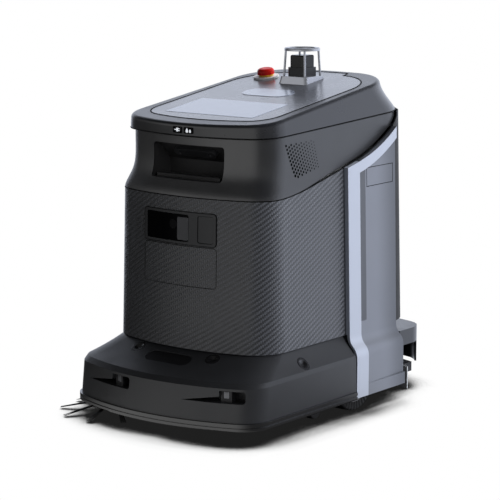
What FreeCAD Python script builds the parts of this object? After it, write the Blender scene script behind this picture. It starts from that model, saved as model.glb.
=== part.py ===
"""Floor-cleaning robot, in millimetres. +Z is up, the robot faces -Y and its left side is +X.

The origin lies on the floor, midway between the contact points of the two drive wheels.
"""
import FreeCAD
import Part
import Sketcher
import math
import os
from collections import namedtuple

doc = FreeCAD.newDocument("cleaning_robot")
sheet = doc.addObject("Spreadsheet::Sheet", "sizes")
pieces = []


class Size:
    """A cell of the sheet, or a value worked out from cells, with the expression that gives it."""

    def __init__(self, text, value):
        self.text = text
        self.value = value

    def __add__(self, other):
        return combined(self, "+", other, self.value + number(other))

    def __sub__(self, other):
        return combined(self, "-", other, self.value - number(other))

    def __mul__(self, other):
        return combined(self, "*", other, self.value * number(other))

    def __truediv__(self, other):
        return combined(self, "/", other, self.value / number(other))

    def __radd__(self, other):
        return plain(other) + self

    def __rsub__(self, other):
        return plain(other) - self

    def __rmul__(self, other):
        return plain(other) * self

    def __neg__(self):
        return plain(0) - self


def plain(value):
    """A bare number as a size, or the size itself."""
    return value if isinstance(value, Size) else Size(f"{value}", float(value))


def number(value):
    return plain(value).value


def combined(left, sign, right, value):
    return Size(f"({plain(left).text} {sign} {plain(right).text})", value)


def angle_of(slope):
    """The angle in degrees of a rise per run."""
    return Size(f"(atan({slope.text}))", math.degrees(math.atan(slope.value)))


def size(name, value, note):
    """Write a driving dimension into the next row of the sheet."""
    row = len(sheet.getUsedCells()) // 3 + 1
    sheet.set(f"A{row}", name)
    sheet.set(f"B{row}", f"{value}")
    sheet.setAlias(f"B{row}", name)
    sheet.set(f"C{row}", note)
    return Size(f"sizes.{name}", float(value))


def bind(item, place, value):
    item.setExpression(place, plain(value).text)


# Body shell: drafted box with a bowed front and round corners.
body_base = size("body_base", 178, "height of the shell's lower edge")
body_half = size("body_half", 218, "half width at the lower edge")
body_front = size("body_front", 360, "reach ahead of the axle at the lower edge")
body_rear = size("body_rear", 273, "reach behind the axle at the lower edge")
front_corner = size("front_corner", 80, "front corner radius of the body")
rear_corner = size("rear_corner", 120, "rear corner radius of the body")
front_bow = size("front_bow", 526, "radius of the bowed body front")
rear_bow = size("rear_bow", 900, "radius of the bowed body rear")
draft = size("draft", 0.0227, "inward lean of the body walls, run per rise")
wall = size("wall", 3, "wall of the shells")
seat_gap = size("seat_gap", 0.3, "clearance where a piece seats beside another")
seam_gap = size("seam_gap", 1.2, "open joint between shells")
trim_gap = size("trim_gap", 0.6, "open joint round an inlaid panel")

# Swept seam between the body shell and the upper shell, seen from the side.
seam_level = size("seam_level", 508, "height of the seam across the front")
seam_start = size("seam_start", 300, "reach ahead of the axle where the seam starts to climb")
seam_bend = size("seam_bend", 620, "radius of the seam's first bend")
seam_angle = size("seam_angle", 13.2, "climb of the seam in degrees")
seam_run = size("seam_run", 175, "length of the seam's straight climb")
seam_sweep = size("seam_sweep", 425, "radius of the seam's rear bend")
neck_rear = size("neck_rear", 185, "rear end of the upper shell")

# Upper shell.
neck_half = size("neck_half", 199, "half width of the upper shell under the lid")
neck_front = size("neck_front", 325, "reach of the upper shell under the lid")
neck_flare = size("neck_flare", 541, "height where the flare is half way in")
neck_waist = size("neck_waist", 570, "height where the flare ends")
neck_top = size("neck_top", 690, "height past the lid seam where the upper shell is trimmed")

# Lid: its seam and its top are planes that rise to the rear.
lid_seam = size("lid_seam", 651, "height of the lid seam above the axle")
lid_seam_rise = size("lid_seam_rise", 0.05, "rise of the lid seam per run")
lid_seam_gap = size("lid_seam_gap", 3, "shadow gap under the lid")
lid_top = size("lid_top", 711.3, "height of the lid's top above the axle")
lid_top_rise = size("lid_top_rise", 0.1463, "rise of the lid's top per run")
lid_front = size("lid_front", 334, "reach of the lid ahead of the axle")
lid_half = size("lid_half", 206, "half width of the lid at its seam")
lid_rear = size("lid_rear", 271, "reach of the lid behind the axle at its seam")
lid_lean = size("lid_lean", 56, "how far the lid's rear leans in up to its top")
lid_wall = size("lid_wall", 4, "wall of the lid")
lid_round = size("lid_round", 9, "rounding of the lid's top edge")

Plan = namedtuple("Plan", "half front rear front_corner rear_corner front_bow rear_bow")
body_plan = Plan(body_half, body_front, body_rear, front_corner, rear_corner, front_bow, rear_bow)


def inset(plan, depth):
    """The same plan with its whole outline moved inwards."""
    return Plan(*(value - depth for value in plan))


class Drawing:
    """Collects the lines, arcs and constraints of one sketch, and sets them together."""

    def __init__(self, body, role, offset=0):
        self.sketch = body.newObject("Sketcher::SketchObject", "sketch")
        plane = next(p for p in body.Origin.OriginFeatures if p.Role == role)
        self.sketch.AttachmentSupport = [(plane, "")]
        self.sketch.MapMode = "FlatFace"
        if number(offset):
            bind(self.sketch, "AttachmentOffset.Base.z", offset)
        self.rules = []
        self.links = []

    def line(self, start, end):
        points = [FreeCAD.Vector(number(x), number(y), 0) for x, y in (start, end)]
        return self.sketch.addGeometry(Part.LineSegment(*points))

    def arc(self, centre, radius, start, end):
        middle = FreeCAD.Vector(number(centre[0]), number(centre[1]), 0)
        circle = Part.Circle(middle, FreeCAD.Vector(0, 0, 1), number(radius))
        bow = Part.ArcOfCircle(circle, math.radians(start), math.radians(end))
        return self.sketch.addGeometry(bow)

    def rule(self, *items):
        self.rules.append(Sketcher.Constraint(*items))

    def measure(self, kind, *items, to):
        """A constraint with a value, tied to the sheet."""
        self.links.append((len(self.rules), plain(to)))
        self.rules.append(Sketcher.Constraint(kind, *items, number(to)))

    def locate(self, shape, point, x, y):
        """Place a point by its distances from the sketch's origin."""
        for kind, axis, value in (("DistanceX", -2, x), ("DistanceY", -1, y)):
            if number(value):
                self.measure(kind, -1, 1, shape, point, to=value)
            else:
                self.rule("PointOnObject", shape, point, axis)

    def done(self):
        self.sketch.addConstraint(self.rules)
        for index, value in self.links:
            bind(self.sketch, f"Constraints[{index}]", value)
        return self.sketch

    def polygon(self, points):
        sides = [self.line(a, b) for a, b in zip(points, points[1:] + points[:1])]
        for side, follower, (x, y) in zip(sides, sides[1:] + sides[:1], points):
            self.rule("Coincident", side, 2, follower, 1)
            self.locate(side, 1, x, y)
        return self

    def box(self, left, low, right, high):
        return self.polygon([(left, low), (right, low), (right, high), (left, high)])

    def disc(self, x, y, radius):
        middle = FreeCAD.Vector(number(x), number(y), 0)
        circle = Part.Circle(middle, FreeCAD.Vector(0, 0, 1), number(radius))
        ring = self.sketch.addGeometry(circle)
        self.locate(ring, 3, x, y)
        self.measure("Radius", ring, to=radius)
        return self

    def rounded(self, left, low, right, high, radius):
        """A rectangle with four equal round corners."""
        l, b, r, t, c = (number(v) for v in (left, low, right, high, radius))
        south = self.line((l + c, b), (r - c, b))
        corner_a = self.arc((r - c, b + c), c, 270, 360)
        east = self.line((r, b + c), (r, t - c))
        corner_b = self.arc((r - c, t - c), c, 0, 90)
        north = self.line((r - c, t), (l + c, t))
        corner_c = self.arc((l + c, t - c), c, 90, 180)
        west = self.line((l, t - c), (l, b + c))
        corner_d = self.arc((l + c, b + c), c, 180, 270)
        corners = [corner_a, corner_b, corner_c, corner_d]
        for side, corner, after in zip((south, east, north, west), corners, (east, north, west, south)):
            self.rule("Tangent", side, 2, corner, 1)
            self.rule("Tangent", corner, 2, after, 1)
        for level, upright in ((south, east), (north, west)):
            self.rule("Horizontal", level)
            self.rule("Vertical", upright)
        for corner in corners[1:]:
            self.rule("Equal", corner_a, corner)
        self.measure("Radius", corner_a, to=radius)
        for kind, side, value in (
            ("DistanceY", south, low),
            ("DistanceX", east, right),
            ("DistanceY", north, high),
            ("DistanceX", west, left),
        ):
            self.measure(kind, -1, 1, side, 1, to=value)
        return self

    def stadium(self, left, right, middle, radius):
        """A slot outline along the sketch's X axis."""
        l, r, y, c = (number(v) for v in (left, right, middle, radius))
        low = self.line((l + c, y - c), (r - c, y - c))
        east = self.arc((r - c, y), c, 270, 90)
        top = self.line((r - c, y + c), (l + c, y + c))
        west = self.arc((l + c, y), c, 90, 270)
        for a, b in ((low, east), (east, top), (top, west), (west, low)):
            self.rule("Tangent", a, 2, b, 1)
        self.rule("Horizontal", low)
        self.measure("Radius", east, to=radius)
        self.locate(east, 3, right - radius, middle)
        self.measure("DistanceX", -1, 1, west, 3, to=left + radius)
        return self

    def outline(self, plan):
        """The robot's plan: bowed front and rear, straight sides, round corners."""
        w, f, r, fc, rc, fb, rb = (number(v) for v in plan)
        bow_y = fb - f
        tail_y = r - rb
        fc_y = bow_y - math.sqrt((fb - fc) ** 2 - (w - fc) ** 2)
        rc_y = tail_y + math.sqrt((rb - rc) ** 2 - (w - rc) ** 2)
        turn_f = math.degrees(math.atan2(fc_y - bow_y, w - fc))
        turn_r = math.degrees(math.atan2(rc_y - tail_y, w - rc))
        nose = self.arc((0, bow_y), fb, 180 - turn_f, turn_f)
        right_f = self.arc((w - fc, fc_y), fc, turn_f, 0)
        right = self.line((w, fc_y), (w, rc_y))
        right_r = self.arc((w - rc, rc_y), rc, 0, turn_r)
        tail = self.arc((0, tail_y), rb, turn_r, 180 - turn_r)
        left_r = self.arc((rc - w, rc_y), rc, 180 - turn_r, 180)
        left = self.line((-w, rc_y), (-w, fc_y))
        left_f = self.arc((fc - w, fc_y), fc, 180, 180 - turn_f)
        loop = [nose, right_f, right, right_r, tail, left_r, left, left_f]
        for a, b in zip(loop, loop[1:] + loop[:1]):
            self.rule("Tangent", a, 2, b, 1)
        for middle, radius, reach in (
            (nose, plan.front_bow, plan.front_bow - plan.front),
            (tail, plan.rear_bow, plan.rear - plan.rear_bow),
        ):
            self.rule("PointOnObject", middle, 3, -2)
            self.measure("Radius", middle, to=radius)
            self.measure("DistanceY", -1, 1, middle, 3, to=reach)
        for side, twin, radius in ((right_f, left_f, plan.front_corner), (right_r, left_r, plan.rear_corner)):
            self.measure("Radius", side, to=radius)
            self.rule("Equal", side, twin)
        self.rule("Vertical", right)
        self.rule("Vertical", left)
        self.measure("DistanceX", -1, 1, right, 1, to=plan.half)
        self.measure("DistanceX", left, 1, -1, 1, to=plan.half)
        return self


def body(label):
    item = doc.addObject("PartDesign::Body", label)
    item.Label = label
    return item


def keep(item, label):
    """Register a finished sub-part under the name of its file."""
    item.Label = label
    pieces.append(item)
    return item


def pad(item, sketch, length, both=False, back=False):
    feature = item.newObject("PartDesign::Pad", "pad")
    feature.Profile = sketch
    feature.SideType = "Symmetric" if both else "One side"
    feature.Reversed = back
    bind(feature, "Length", length)
    return feature


def pocket(item, sketch, length=None, both=False, back=False):
    """A cut to a depth, or through everything on both sides of the sketch."""
    feature = item.newObject("PartDesign::Pocket", "pocket")
    feature.Profile = sketch
    feature.SideType = "Symmetric" if both or length is None else "One side"
    feature.Reversed = back
    if length is None:
        feature.Type = "ThroughAll"
    else:
        bind(feature, "Length", length)
    return feature


def loft(item, sections, ruled=True, cut=False):
    kind = "SubtractiveLoft" if cut else "AdditiveLoft"
    feature = item.newObject(f"PartDesign::{kind}", "loft")
    feature.Profile = sections[0]
    feature.Sections = sections[1:]
    feature.Ruled = ruled
    return feature


def cut(label, base, *tools):
    """Take one or more solids away from another."""
    item = doc.addObject("Part::Cut", label)
    item.Base = base
    item.Tool = tools[0] if len(tools) == 1 else fused(f"{label}_tools", *tools)
    return item


def fused(label, *members):
    item = doc.addObject("Part::MultiFuse", label)
    item.Shapes = list(members)
    return item


def common(label, base, tool):
    item = doc.addObject("Part::Common", label)
    item.Base = base
    item.Tool = tool
    return item


def twin_of(source):
    """The same piece on the robot's other side."""
    item = doc.addObject("Part::Mirroring", f"{source.Name}_twin")
    item.Source = source
    item.Normal = FreeCAD.Vector(1, 0, 0)
    return item


def mirrored(source, label):
    return keep(twin_of(source), label)


def group(label, *members):
    """Separate solids of one kind, kept in one node."""
    item = doc.addObject("Part::Compound", label)
    item.Links = list(members)
    return keep(item, label)


def body_at(height, depth):
    """Plan of the drafted body at a height, moved inwards by a depth."""
    return inset(body_plan, (height - body_base) * draft + depth)


def body_solid(label, depth, low, high):
    """The drafted body as a plain solid between two heights."""
    item = body(label)
    sections = [Drawing(item, "XY_Plane", z).outline(body_at(z, depth)).done() for z in (low, high)]
    loft(item, sections)
    return item


reach = size("reach", 900, "length past the robot that every trimming cut runs to")


def seam_region(item, above, gap):
    """Side view of all that lies above or below the swept seam, moved by half the joint."""
    level = seam_level + gap
    far = reach if above else -reach
    climb = math.radians(number(seam_angle))
    bend, sweep, run = number(seam_bend), number(seam_sweep), number(seam_run)
    y, z = -number(seam_start), number(level)
    drawing = Drawing(item, "YZ_Plane")
    flat = drawing.line((-reach, z), (y, z))
    first = drawing.arc((y, z + bend), bend, 270, 270 + math.degrees(climb))
    y, z = y + bend * math.sin(climb), z + bend * (1 - math.cos(climb))
    ramp = drawing.line((y, z), (y + run * math.cos(climb), z + run * math.sin(climb)))
    y, z = y + run * math.cos(climb), z + run * math.sin(climb)
    middle = (y - sweep * math.sin(climb), z + sweep * math.cos(climb))
    last = math.asin((number(neck_rear) - middle[0]) / sweep)
    second = drawing.arc(middle, sweep, 270 + math.degrees(climb), 270 + math.degrees(last))
    end = (neck_rear, middle[1] - sweep * math.cos(last))
    side = drawing.line(end, (neck_rear, far))
    top = drawing.line((neck_rear, far), (-reach, far))
    back = drawing.line((-reach, far), (-reach, level))
    for a, b in ((flat, first), (first, ramp), (ramp, second)):
        drawing.rule("Tangent", a, 2, b, 1)
    for a, b in ((second, side), (side, top), (top, back), (back, flat)):
        drawing.rule("Coincident", a, 2, b, 1)
    drawing.rule("Horizontal", flat)
    drawing.rule("Horizontal", top)
    drawing.rule("Vertical", side)
    drawing.rule("Vertical", back)
    drawing.measure("Radius", first, to=seam_bend)
    drawing.measure("Radius", second, to=seam_sweep)
    drawing.measure("Distance", ramp, to=seam_run)
    drawing.measure("Angle", -1, ramp, to=seam_angle)
    drawing.locate(flat, 2, -seam_start, level)
    drawing.measure("DistanceX", -1, 1, side, 2, to=neck_rear)
    drawing.measure("DistanceY", -1, 1, side, 2, to=far)
    drawing.measure("DistanceX", -1, 1, top, 2, to=-reach)
    return drawing.done()


def plane_region(item, height, rise, above):
    """Side view of all that lies above or below a plane that rises to the rear."""
    far = reach * 2 if above else -reach
    return Drawing(item, "YZ_Plane").polygon([
        (-reach, height - rise * reach),
        (reach, height + rise * reach),
        (reach, far),
        (-reach, far),
    ]).done()


def neck_solid(label, depth):
    """The flared upper shell as a plain solid, moved inwards by a depth."""
    low = seam_level - seam_flange
    base = body_at(low, depth)
    item = body(label)
    stations = (
        (low, 0),
        ((seam_level * 3 + neck_flare * 2) / 5, 0.19),
        (neck_flare, 0.62),
        (neck_waist, 0.95),
        ((neck_waist * 2 + neck_top) / 3, 1),
        ((neck_waist + neck_top * 2) / 3, 1),
        (neck_top, 1),
    )
    sections = []
    for height, share in stations:
        plan = base._replace(
            half=base.half - (base.half - neck_half + depth) * share,
            front=base.front - (base.front - neck_front + depth) * share,
        )
        sections.append(Drawing(item, "XY_Plane", height).outline(plan).done())
    loft(item, sections, ruled=False)
    return item


seam_flange = size("seam_flange", 8, "overlap below the seam before it is trimmed")

# Body shell, moulded in one piece down to its inner flange, with openings for the front camera and panel.
flange_low = size("flange_low", 182, "underside of the shell's inner flange")
flange_thick = size("flange_thick", 4, "thickness of the shell's inner flange")
flange_wide = size("flange_wide", 24, "reach of the inner flange inside the outline")
shell_split = size("shell_split", 160, "plane where the rear cover starts, behind the axle")
shell_top = size("shell_top", 680, "height past the lid seam where the shell is trimmed")


def lower_shell(label, front):
    """The body's wall and flange, cut to its front or rear part."""
    outer = body_solid(f"{label}_outer", plain(0), body_base, shell_top)
    rest = shell_split - trim_gap / 2 if front else shell_split + trim_gap / 2
    far = reach if front else -reach
    ends = (rest, far) if front else (far, rest)
    pocket(outer, Drawing(outer, "YZ_Plane").box(ends[0], -reach, ends[1], reach).done())
    pocket(outer, seam_region(outer, True, -seam_gap / 2))
    pocket(outer, plane_region(outer, lid_seam - lid_seam_gap / 2, lid_seam_rise, True))
    core = body_solid(f"{label}_core", wall, flange_low + flange_thick, shell_top + wall)
    foot = body_solid(f"{label}_foot", wall, body_base - wall, flange_low)
    mouth = body_solid(f"{label}_mouth", flange_wide, body_base, flange_low + flange_thick * 2)
    return cut(label, outer, core, foot, mouth)


camera_half = size("camera_half", 100, "half width of the front camera frame")
camera_low = size("camera_low", 405, "lower edge of the front camera frame")
camera_high = size("camera_high", 476, "upper edge of the front camera frame")
camera_proud = size("camera_proud", 2, "how far the camera frame stands off the body")
camera_deep = size("camera_deep", 9, "depth of the camera frame behind the body's surface")
panel_low = size("panel_low", 315, "lower edge of the front access panel")
tile_round = size("tile_round", 8, "corner radius of the front tiles")


def front_prism(label, left, low, right, high, radius):
    """A round-cornered bar that runs from ahead of the robot back to the axle."""
    item = body(label)
    pad(item, Drawing(item, "XZ_Plane").rounded(left, low, right, high, radius).done(), reach)
    return item


def front_skin(label, proud, depth):
    """A layer that follows the body's front, from a proud face to a depth behind it."""
    outer = body_solid(f"{label}_face", -proud, panel_low - reach / 10, camera_high + reach / 10)
    inner = body_solid(f"{label}_back", depth, panel_low - reach / 5, camera_high + reach / 5)
    return cut(label, outer, inner)


shell_blank = lower_shell("shell_blank", True)
camera_hole = front_prism(
    "camera_hole", -camera_half - seat_gap, camera_low - seat_gap,
    camera_half + seat_gap, camera_high + seat_gap, tile_round + seat_gap)
panel_bar = front_prism(
    "panel_bar", -camera_half, panel_low, camera_half, camera_low - wall, tile_round)
panel_hole = front_prism(
    "panel_hole", -camera_half - trim_gap, panel_low - trim_gap,
    camera_half + trim_gap, camera_low - wall + trim_gap, tile_round + trim_gap)
panel_recess = common("panel_recess", panel_hole, front_skin("recess_skin", wall, wall / 2))
keep(cut("body_shell", shell_blank, camera_hole, panel_recess), "body_shell")
keep(lower_shell("rear_cover", False), "rear_cover")

# Access panel, let into the body's front below the camera.
panel_skin = front_skin("panel_skin", plain(0), wall / 2 - seat_gap)
keep(common("front_access_panel", panel_bar, panel_skin), "front_access_panel")

# Front camera: a bowed frame with a dark glass and a plain cover let into it.
glass_left = size("glass_left", 91, "left edge of the camera glass, from the middle")
glass_right = size("glass_right", 31, "right edge of the camera glass, from the middle")
cover_left = size("cover_left", 54, "inner edge of the camera frame's cover")
cover_right = size("cover_right", 93, "outer edge of the camera frame's cover")
frame_rim = size("frame_rim", 6, "rim of the camera frame above and below its inlays")
glass_deep = size("glass_deep", 4, "depth of the inlays behind the body's surface")
inlay_round = size("inlay_round", 5, "corner radius of the camera inlays")
inlay_face = size("inlay_face", 0.5, "how far the inlays stand off the body")

frame_skin = front_skin("frame_skin", camera_proud, camera_deep)
inlay_cutter = front_skin("inlay_cutter", camera_proud * 3, glass_deep)
inlay_skin = front_skin("inlay_skin", inlay_face, glass_deep - seat_gap)
frame_bar = front_prism("frame_bar", -camera_half, camera_low, camera_half, camera_high, tile_round)
frame_blank = common("frame_blank", frame_bar, frame_skin)
frame_cuts = []
for label, left, right in (
    ("front_camera_glass", -glass_left, glass_right),
    ("front_camera_cover", cover_left, cover_right),
):
    low = camera_low + frame_rim
    high = camera_high - frame_rim
    hole = front_prism(f"{label}_hole", left, low, right, high, inlay_round)
    frame_cuts.append(common(f"{label}_seat", hole, inlay_cutter))
    bar = front_prism(
        f"{label}_bar", left + seat_gap, low + seat_gap, right - seat_gap, high - seat_gap, inlay_round)
    keep(common(label, bar, inlay_skin), label)
keep(cut("front_camera_frame", frame_blank, *frame_cuts), "front_camera_frame")

# Upper shell: flared neck with the opening of the sensor bay.
bay_half = size("bay_half", 98, "half width of the sensor bay")
bay_low = size("bay_low", 541, "floor of the sensor bay")
bay_high = size("bay_high", 616, "roof of the sensor bay")
bay_back = size("bay_back", 262, "back wall of the sensor bay, ahead of the axle")
bay_lean = size("bay_lean", 40, "rise and run of the back wall's leaning part under the roof")
bay_knee = bay_high - bay_lean
bay_round = size("bay_round", 7, "corner radius of the bay's mouth")
ledge_half = size("ledge_half", 88, "half length of the ledge on the bay's floor")
ledge_front = size("ledge_front", 318, "front of the ledge, ahead of the axle")
ledge_deep = size("ledge_deep", 16, "depth of the ledge")
ledge_tall = size("ledge_tall", 9, "height of the ledge above the floor")

neck_outer = neck_solid("neck_outer", plain(0))
pocket(neck_outer, seam_region(neck_outer, False, seam_gap / 2))
pocket(neck_outer, plane_region(neck_outer, lid_seam - lid_seam_gap / 2, lid_seam_rise, True))
neck_end = Drawing(neck_outer, "YZ_Plane").box(neck_rear - seam_gap, -reach, reach, reach).done()
pocket(neck_outer, neck_end)
neck_core = neck_solid("neck_core", wall)
bay_mouth = front_prism("bay_mouth", -bay_half, bay_low, bay_half, bay_high, bay_round)
keep(cut("upper_shell", neck_outer, neck_core, bay_mouth), "upper_shell")

# Sensor bay: a moulded pocket behind the mouth, its back leaning forward under the roof.
bay_block = body("bay_block")


def bay_profile(item, grow):
    return Drawing(item, "YZ_Plane").polygon([
        (-reach, bay_low - grow),
        (-bay_back + grow, bay_low - grow),
        (-bay_back + grow, bay_knee),
        (-bay_back - bay_lean, bay_high + grow),
        (-reach, bay_high + grow),
    ]).done()


pad(bay_block, bay_profile(bay_block, wall), (bay_half + wall) * 2, both=True)
pocket(bay_block, bay_profile(bay_block, plain(0)), bay_half * 2, both=True)
ledge = Drawing(bay_block, "YZ_Plane", -ledge_half)
ledge.rounded(-ledge_front, bay_low - wall / 2, ledge_deep - ledge_front, bay_low + ledge_tall, wall)
pad(bay_block, ledge.done(), ledge_half * 2)
keep(common("sensor_bay", bay_block, neck_solid("neck_seat", wall + seat_gap)), "sensor_bay")

# Stereo camera bar on the bay's leaning wall, looking forward and down.
bar_half = size("bar_half", 57, "half length of the stereo camera bar")
bar_radius = size("bar_radius", 11, "half height of the stereo camera bar")
bar_thick = size("bar_thick", 10, "thickness of the stereo camera bar")
bar_eye = size("bar_eye", 42, "distance of each lens from the bar's middle")
eye_radius = size("eye_radius", 5, "radius of each lens well")
bay_camera = body("bay_camera")
pad(bay_camera, Drawing(bay_camera, "XY_Plane").stadium(-bar_half, bar_half, 0, bar_radius).done(), bar_thick)
eyes = Drawing(bay_camera, "XY_Plane", bar_thick)
eyes.disc(-bar_eye, 0, eye_radius)
eyes.disc(bar_eye, 0, eye_radius)
pocket(bay_camera, eyes.done(), bar_thick / 4)
lean_middle = bay_lean * 0.62
bay_camera.Placement = FreeCAD.Placement(
    FreeCAD.Vector(0, 0, 0), FreeCAD.Rotation(FreeCAD.Vector(1, 0, 0), 135))
bind(bay_camera, "Placement.Base.y", -bay_back - lean_middle - seat_gap)
bind(bay_camera, "Placement.Base.z", bay_knee + lean_middle - seat_gap)
keep(bay_camera, "bay_camera")

# Speakers behind the grilles of the upper shell.
speaker_y = size("speaker_y", 171, "speaker centre ahead of the axle")
speaker_z = size("speaker_z", 588, "speaker centre height")
speaker_radius = size("speaker_radius", 30, "radius of each speaker")
speaker_deep = size("speaker_deep", 24, "depth of each speaker")


speaker = body("speaker")
speaker_back = neck_half - wall - seat_gap - speaker_deep
cone = Drawing(speaker, "YZ_Plane", speaker_back).disc(-speaker_y, speaker_z, speaker_radius).done()
pad(speaker, cone, speaker_deep)
magnet = Drawing(speaker, "YZ_Plane", speaker_back).disc(-speaker_y, speaker_z, speaker_radius * 0.6).done()
pad(speaker, magnet, speaker_deep / 2, back=True)
group("speakers", speaker, twin_of(speaker))

# Lid: its rear leans in from the body's outline up to the smaller top.
lid_corner = size("lid_corner", 72, "front corner radius of the lid")
lid_narrow = size("lid_narrow", 9.5, "how far the lid's sides lean in up to its top")
lid_roof = size("lid_roof", 7, "thickness of the lid's roof")
lid_plan = Plan(lid_half, lid_front, lid_rear, lid_corner, rear_corner, front_bow, rear_bow)


def lid_solid(label, depth):
    """The lid as a plain solid, untrimmed, moved inwards by a depth."""
    item = body(label)
    sections = []
    low = lid_seam - (lid_top - lid_seam) / 2
    for height, share in ((low, 0), (lid_seam, 0.05), ((lid_seam + lid_top) / 2, 0.5), (lid_top * 1.07, 1)):
        plan = inset(lid_plan, depth)
        plan = plan._replace(half=plan.half - lid_narrow * share, rear=plan.rear - lid_lean * share)
        sections.append(Drawing(item, "XY_Plane", height).outline(plan).done())
    loft(item, sections, ruled=False)
    return item


def on_top(item, x, y):
    """Seat a piece drawn flat on the lid's inclined top."""
    tilt = angle_of(lid_top_rise)
    item.Placement = FreeCAD.Placement(
        FreeCAD.Vector(0, 0, 0), FreeCAD.Rotation(FreeCAD.Vector(1, 0, 0), number(tilt)))
    bind(item, "Placement.Rotation.Angle", tilt)
    bind(item, "Placement.Base.x", x)
    bind(item, "Placement.Base.y", y)
    bind(item, "Placement.Base.z", lid_top + plain(y) * lid_top_rise)
    return item


def round_edges(item, radius, chosen):
    """Fillet the edges of a body's tip that a test picks."""
    item.recompute(True)
    tip = item.Tip
    names = [f"Edge{i}" for i, edge in enumerate(tip.Shape.Edges, 1) if chosen(edge)]
    feature = item.newObject("PartDesign::Fillet", "fillet")
    feature.Base = (tip, names)
    bind(feature, "Radius", radius)
    return feature


def at_height(height):
    """Test for edges that lie level at a height of the piece's own frame."""
    level = number(height)
    return lambda edge: abs(edge.BoundBox.ZMin - level) + abs(edge.BoundBox.ZMax - level) < 0.02


panel_half = size("panel_half", 172, "half width of the top panel")
panel_front = size("panel_front", 295, "reach of the top panel ahead of the axle, along the top")
panel_rear = size("panel_rear", 166, "reach of the top panel behind the axle, along the top")
panel_corner = size("panel_corner", 62, "front corner radius of the top panel")
panel_tail = size("panel_tail", 118, "rear corner radius of the top panel")
panel_thick = size("panel_thick", 3, "thickness of the top panel")
panel_gap = size("panel_gap", 1.8, "shadow gap round the top panel")
tab_half = size("tab_half", 66, "half width of the top panel's rear tab")
tab_reach = size("tab_reach", 20, "reach of the top panel's rear tab")
tab_round = size("tab_round", 8, "corner radius of the rear tab")
panel_plan = Plan(panel_half, panel_front, panel_rear, panel_corner, panel_tail, front_bow, rear_bow)


def panel_solid(label, grow, low, high):
    item = body(label)
    plan = inset(panel_plan, -grow)
    pad(item, Drawing(item, "XY_Plane", low).outline(plan).done(), high - low)
    tab = Drawing(item, "XY_Plane", low)
    tab.rounded(-tab_half - grow, plain(0), tab_half + grow, panel_rear + tab_reach + grow, tab_round)
    pad(item, tab.done(), high - low)
    return on_top(item, 0, 0)


def on_lid_top(edge):
    """True for an edge that lies in the lid's top plane."""
    points = [edge.valueAt(edge.FirstParameter), edge.valueAt((edge.FirstParameter + edge.LastParameter) / 2)]
    return all(abs(p.z - number(lid_top) - number(lid_top_rise) * p.y) < 0.05 for p in points)


lid_outer = lid_solid("lid_outer", plain(0))
pocket(lid_outer, plane_region(lid_outer, lid_seam + lid_seam_gap / 2, lid_seam_rise, False))
pocket(lid_outer, plane_region(lid_outer, lid_top, lid_top_rise, True))
round_edges(lid_outer, lid_round, on_lid_top)
lid_core = lid_solid("lid_core", lid_wall)
pocket(lid_core, plane_region(lid_core, lid_top - lid_roof, lid_top_rise, True))
panel_cutter = panel_solid("panel_cutter", panel_gap, -panel_thick, lid_roof)
keep(cut("lid", lid_outer, lid_core, panel_cutter), "lid")

# Top panel, inlaid flush in the lid, with a shallow bed for the touchscreen.
screen_half = size("screen_half", 122, "half width of the touchscreen")
screen_front = size("screen_front", 253, "near edge of the touchscreen, along the top")
screen_deep = size("screen_deep", 131, "depth of the touchscreen, along the top")
screen_bed = size("screen_bed", 2, "depth of the touchscreen's bed")
screen_proud = size("screen_proud", 0.4, "how far the touchscreen stands off the panel")
screen_round = size("screen_round", 6, "corner radius of the touchscreen")
top_panel = panel_solid("top_panel", plain(0), -panel_thick, plain(0))
bed = Drawing(top_panel, "XY_Plane")
bed.rounded(-screen_half, -screen_front, screen_half, screen_deep - screen_front, screen_round)
pocket(top_panel, bed.done(), screen_bed)
keep(top_panel, "top_panel")

touchscreen = body("touchscreen")
glass = Drawing(touchscreen, "XY_Plane", -screen_bed)
glass.rounded(
    -screen_half + seat_gap, -screen_front + seat_gap,
    screen_half - seat_gap, screen_deep - screen_front - seat_gap, screen_round)
pad(touchscreen, glass.done(), screen_bed + screen_proud)
keep(on_top(touchscreen, 0, 0), "touchscreen")

# Oval glossy pad between the touchscreen and the lidar.
oval_half = size("oval_half", 66, "half length of the oval pad")
oval_radius = size("oval_radius", 33, "half depth of the oval pad")
oval_front = size("oval_front", 35, "centre of the oval pad ahead of the axle")
oval_thick = size("oval_thick", 0.8, "thickness of the oval pad")
oval_pad = body("oval_pad")
pad(oval_pad, Drawing(oval_pad, "XY_Plane").stadium(-oval_half, oval_half, 0, oval_radius).done(), oval_thick)
keep(on_top(oval_pad, 0, -oval_front), "oval_pad")

# Two indicator tiles on the lid's front edge.
tile_wide = size("tile_wide", 25, "width of each indicator tile")
tile_space = size("tile_space", 6, "space between the indicator tiles")
tile_low = size("tile_low", 641.5, "lower edge of the indicator tiles")
tile_tall = size("tile_tall", 14, "height of the indicator tiles")
tile_proud = size("tile_proud", 1, "how far the indicator tiles stand off the lid")
indicator_round = size("indicator_round", 2.5, "corner radius of the indicator tiles")
tile_bar = front_prism(
    "tile_bar", tile_space / 2, tile_low, tile_space / 2 + tile_wide, tile_low + tile_tall, indicator_round)
tile_skin = cut("tile_skin", lid_solid("tile_face", -tile_proud), lid_solid("tile_back", -seat_gap))
indicator_tile = common("indicator_tile", tile_bar, tile_skin)
group("indicator_tiles", indicator_tile, twin_of(indicator_tile))

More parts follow.
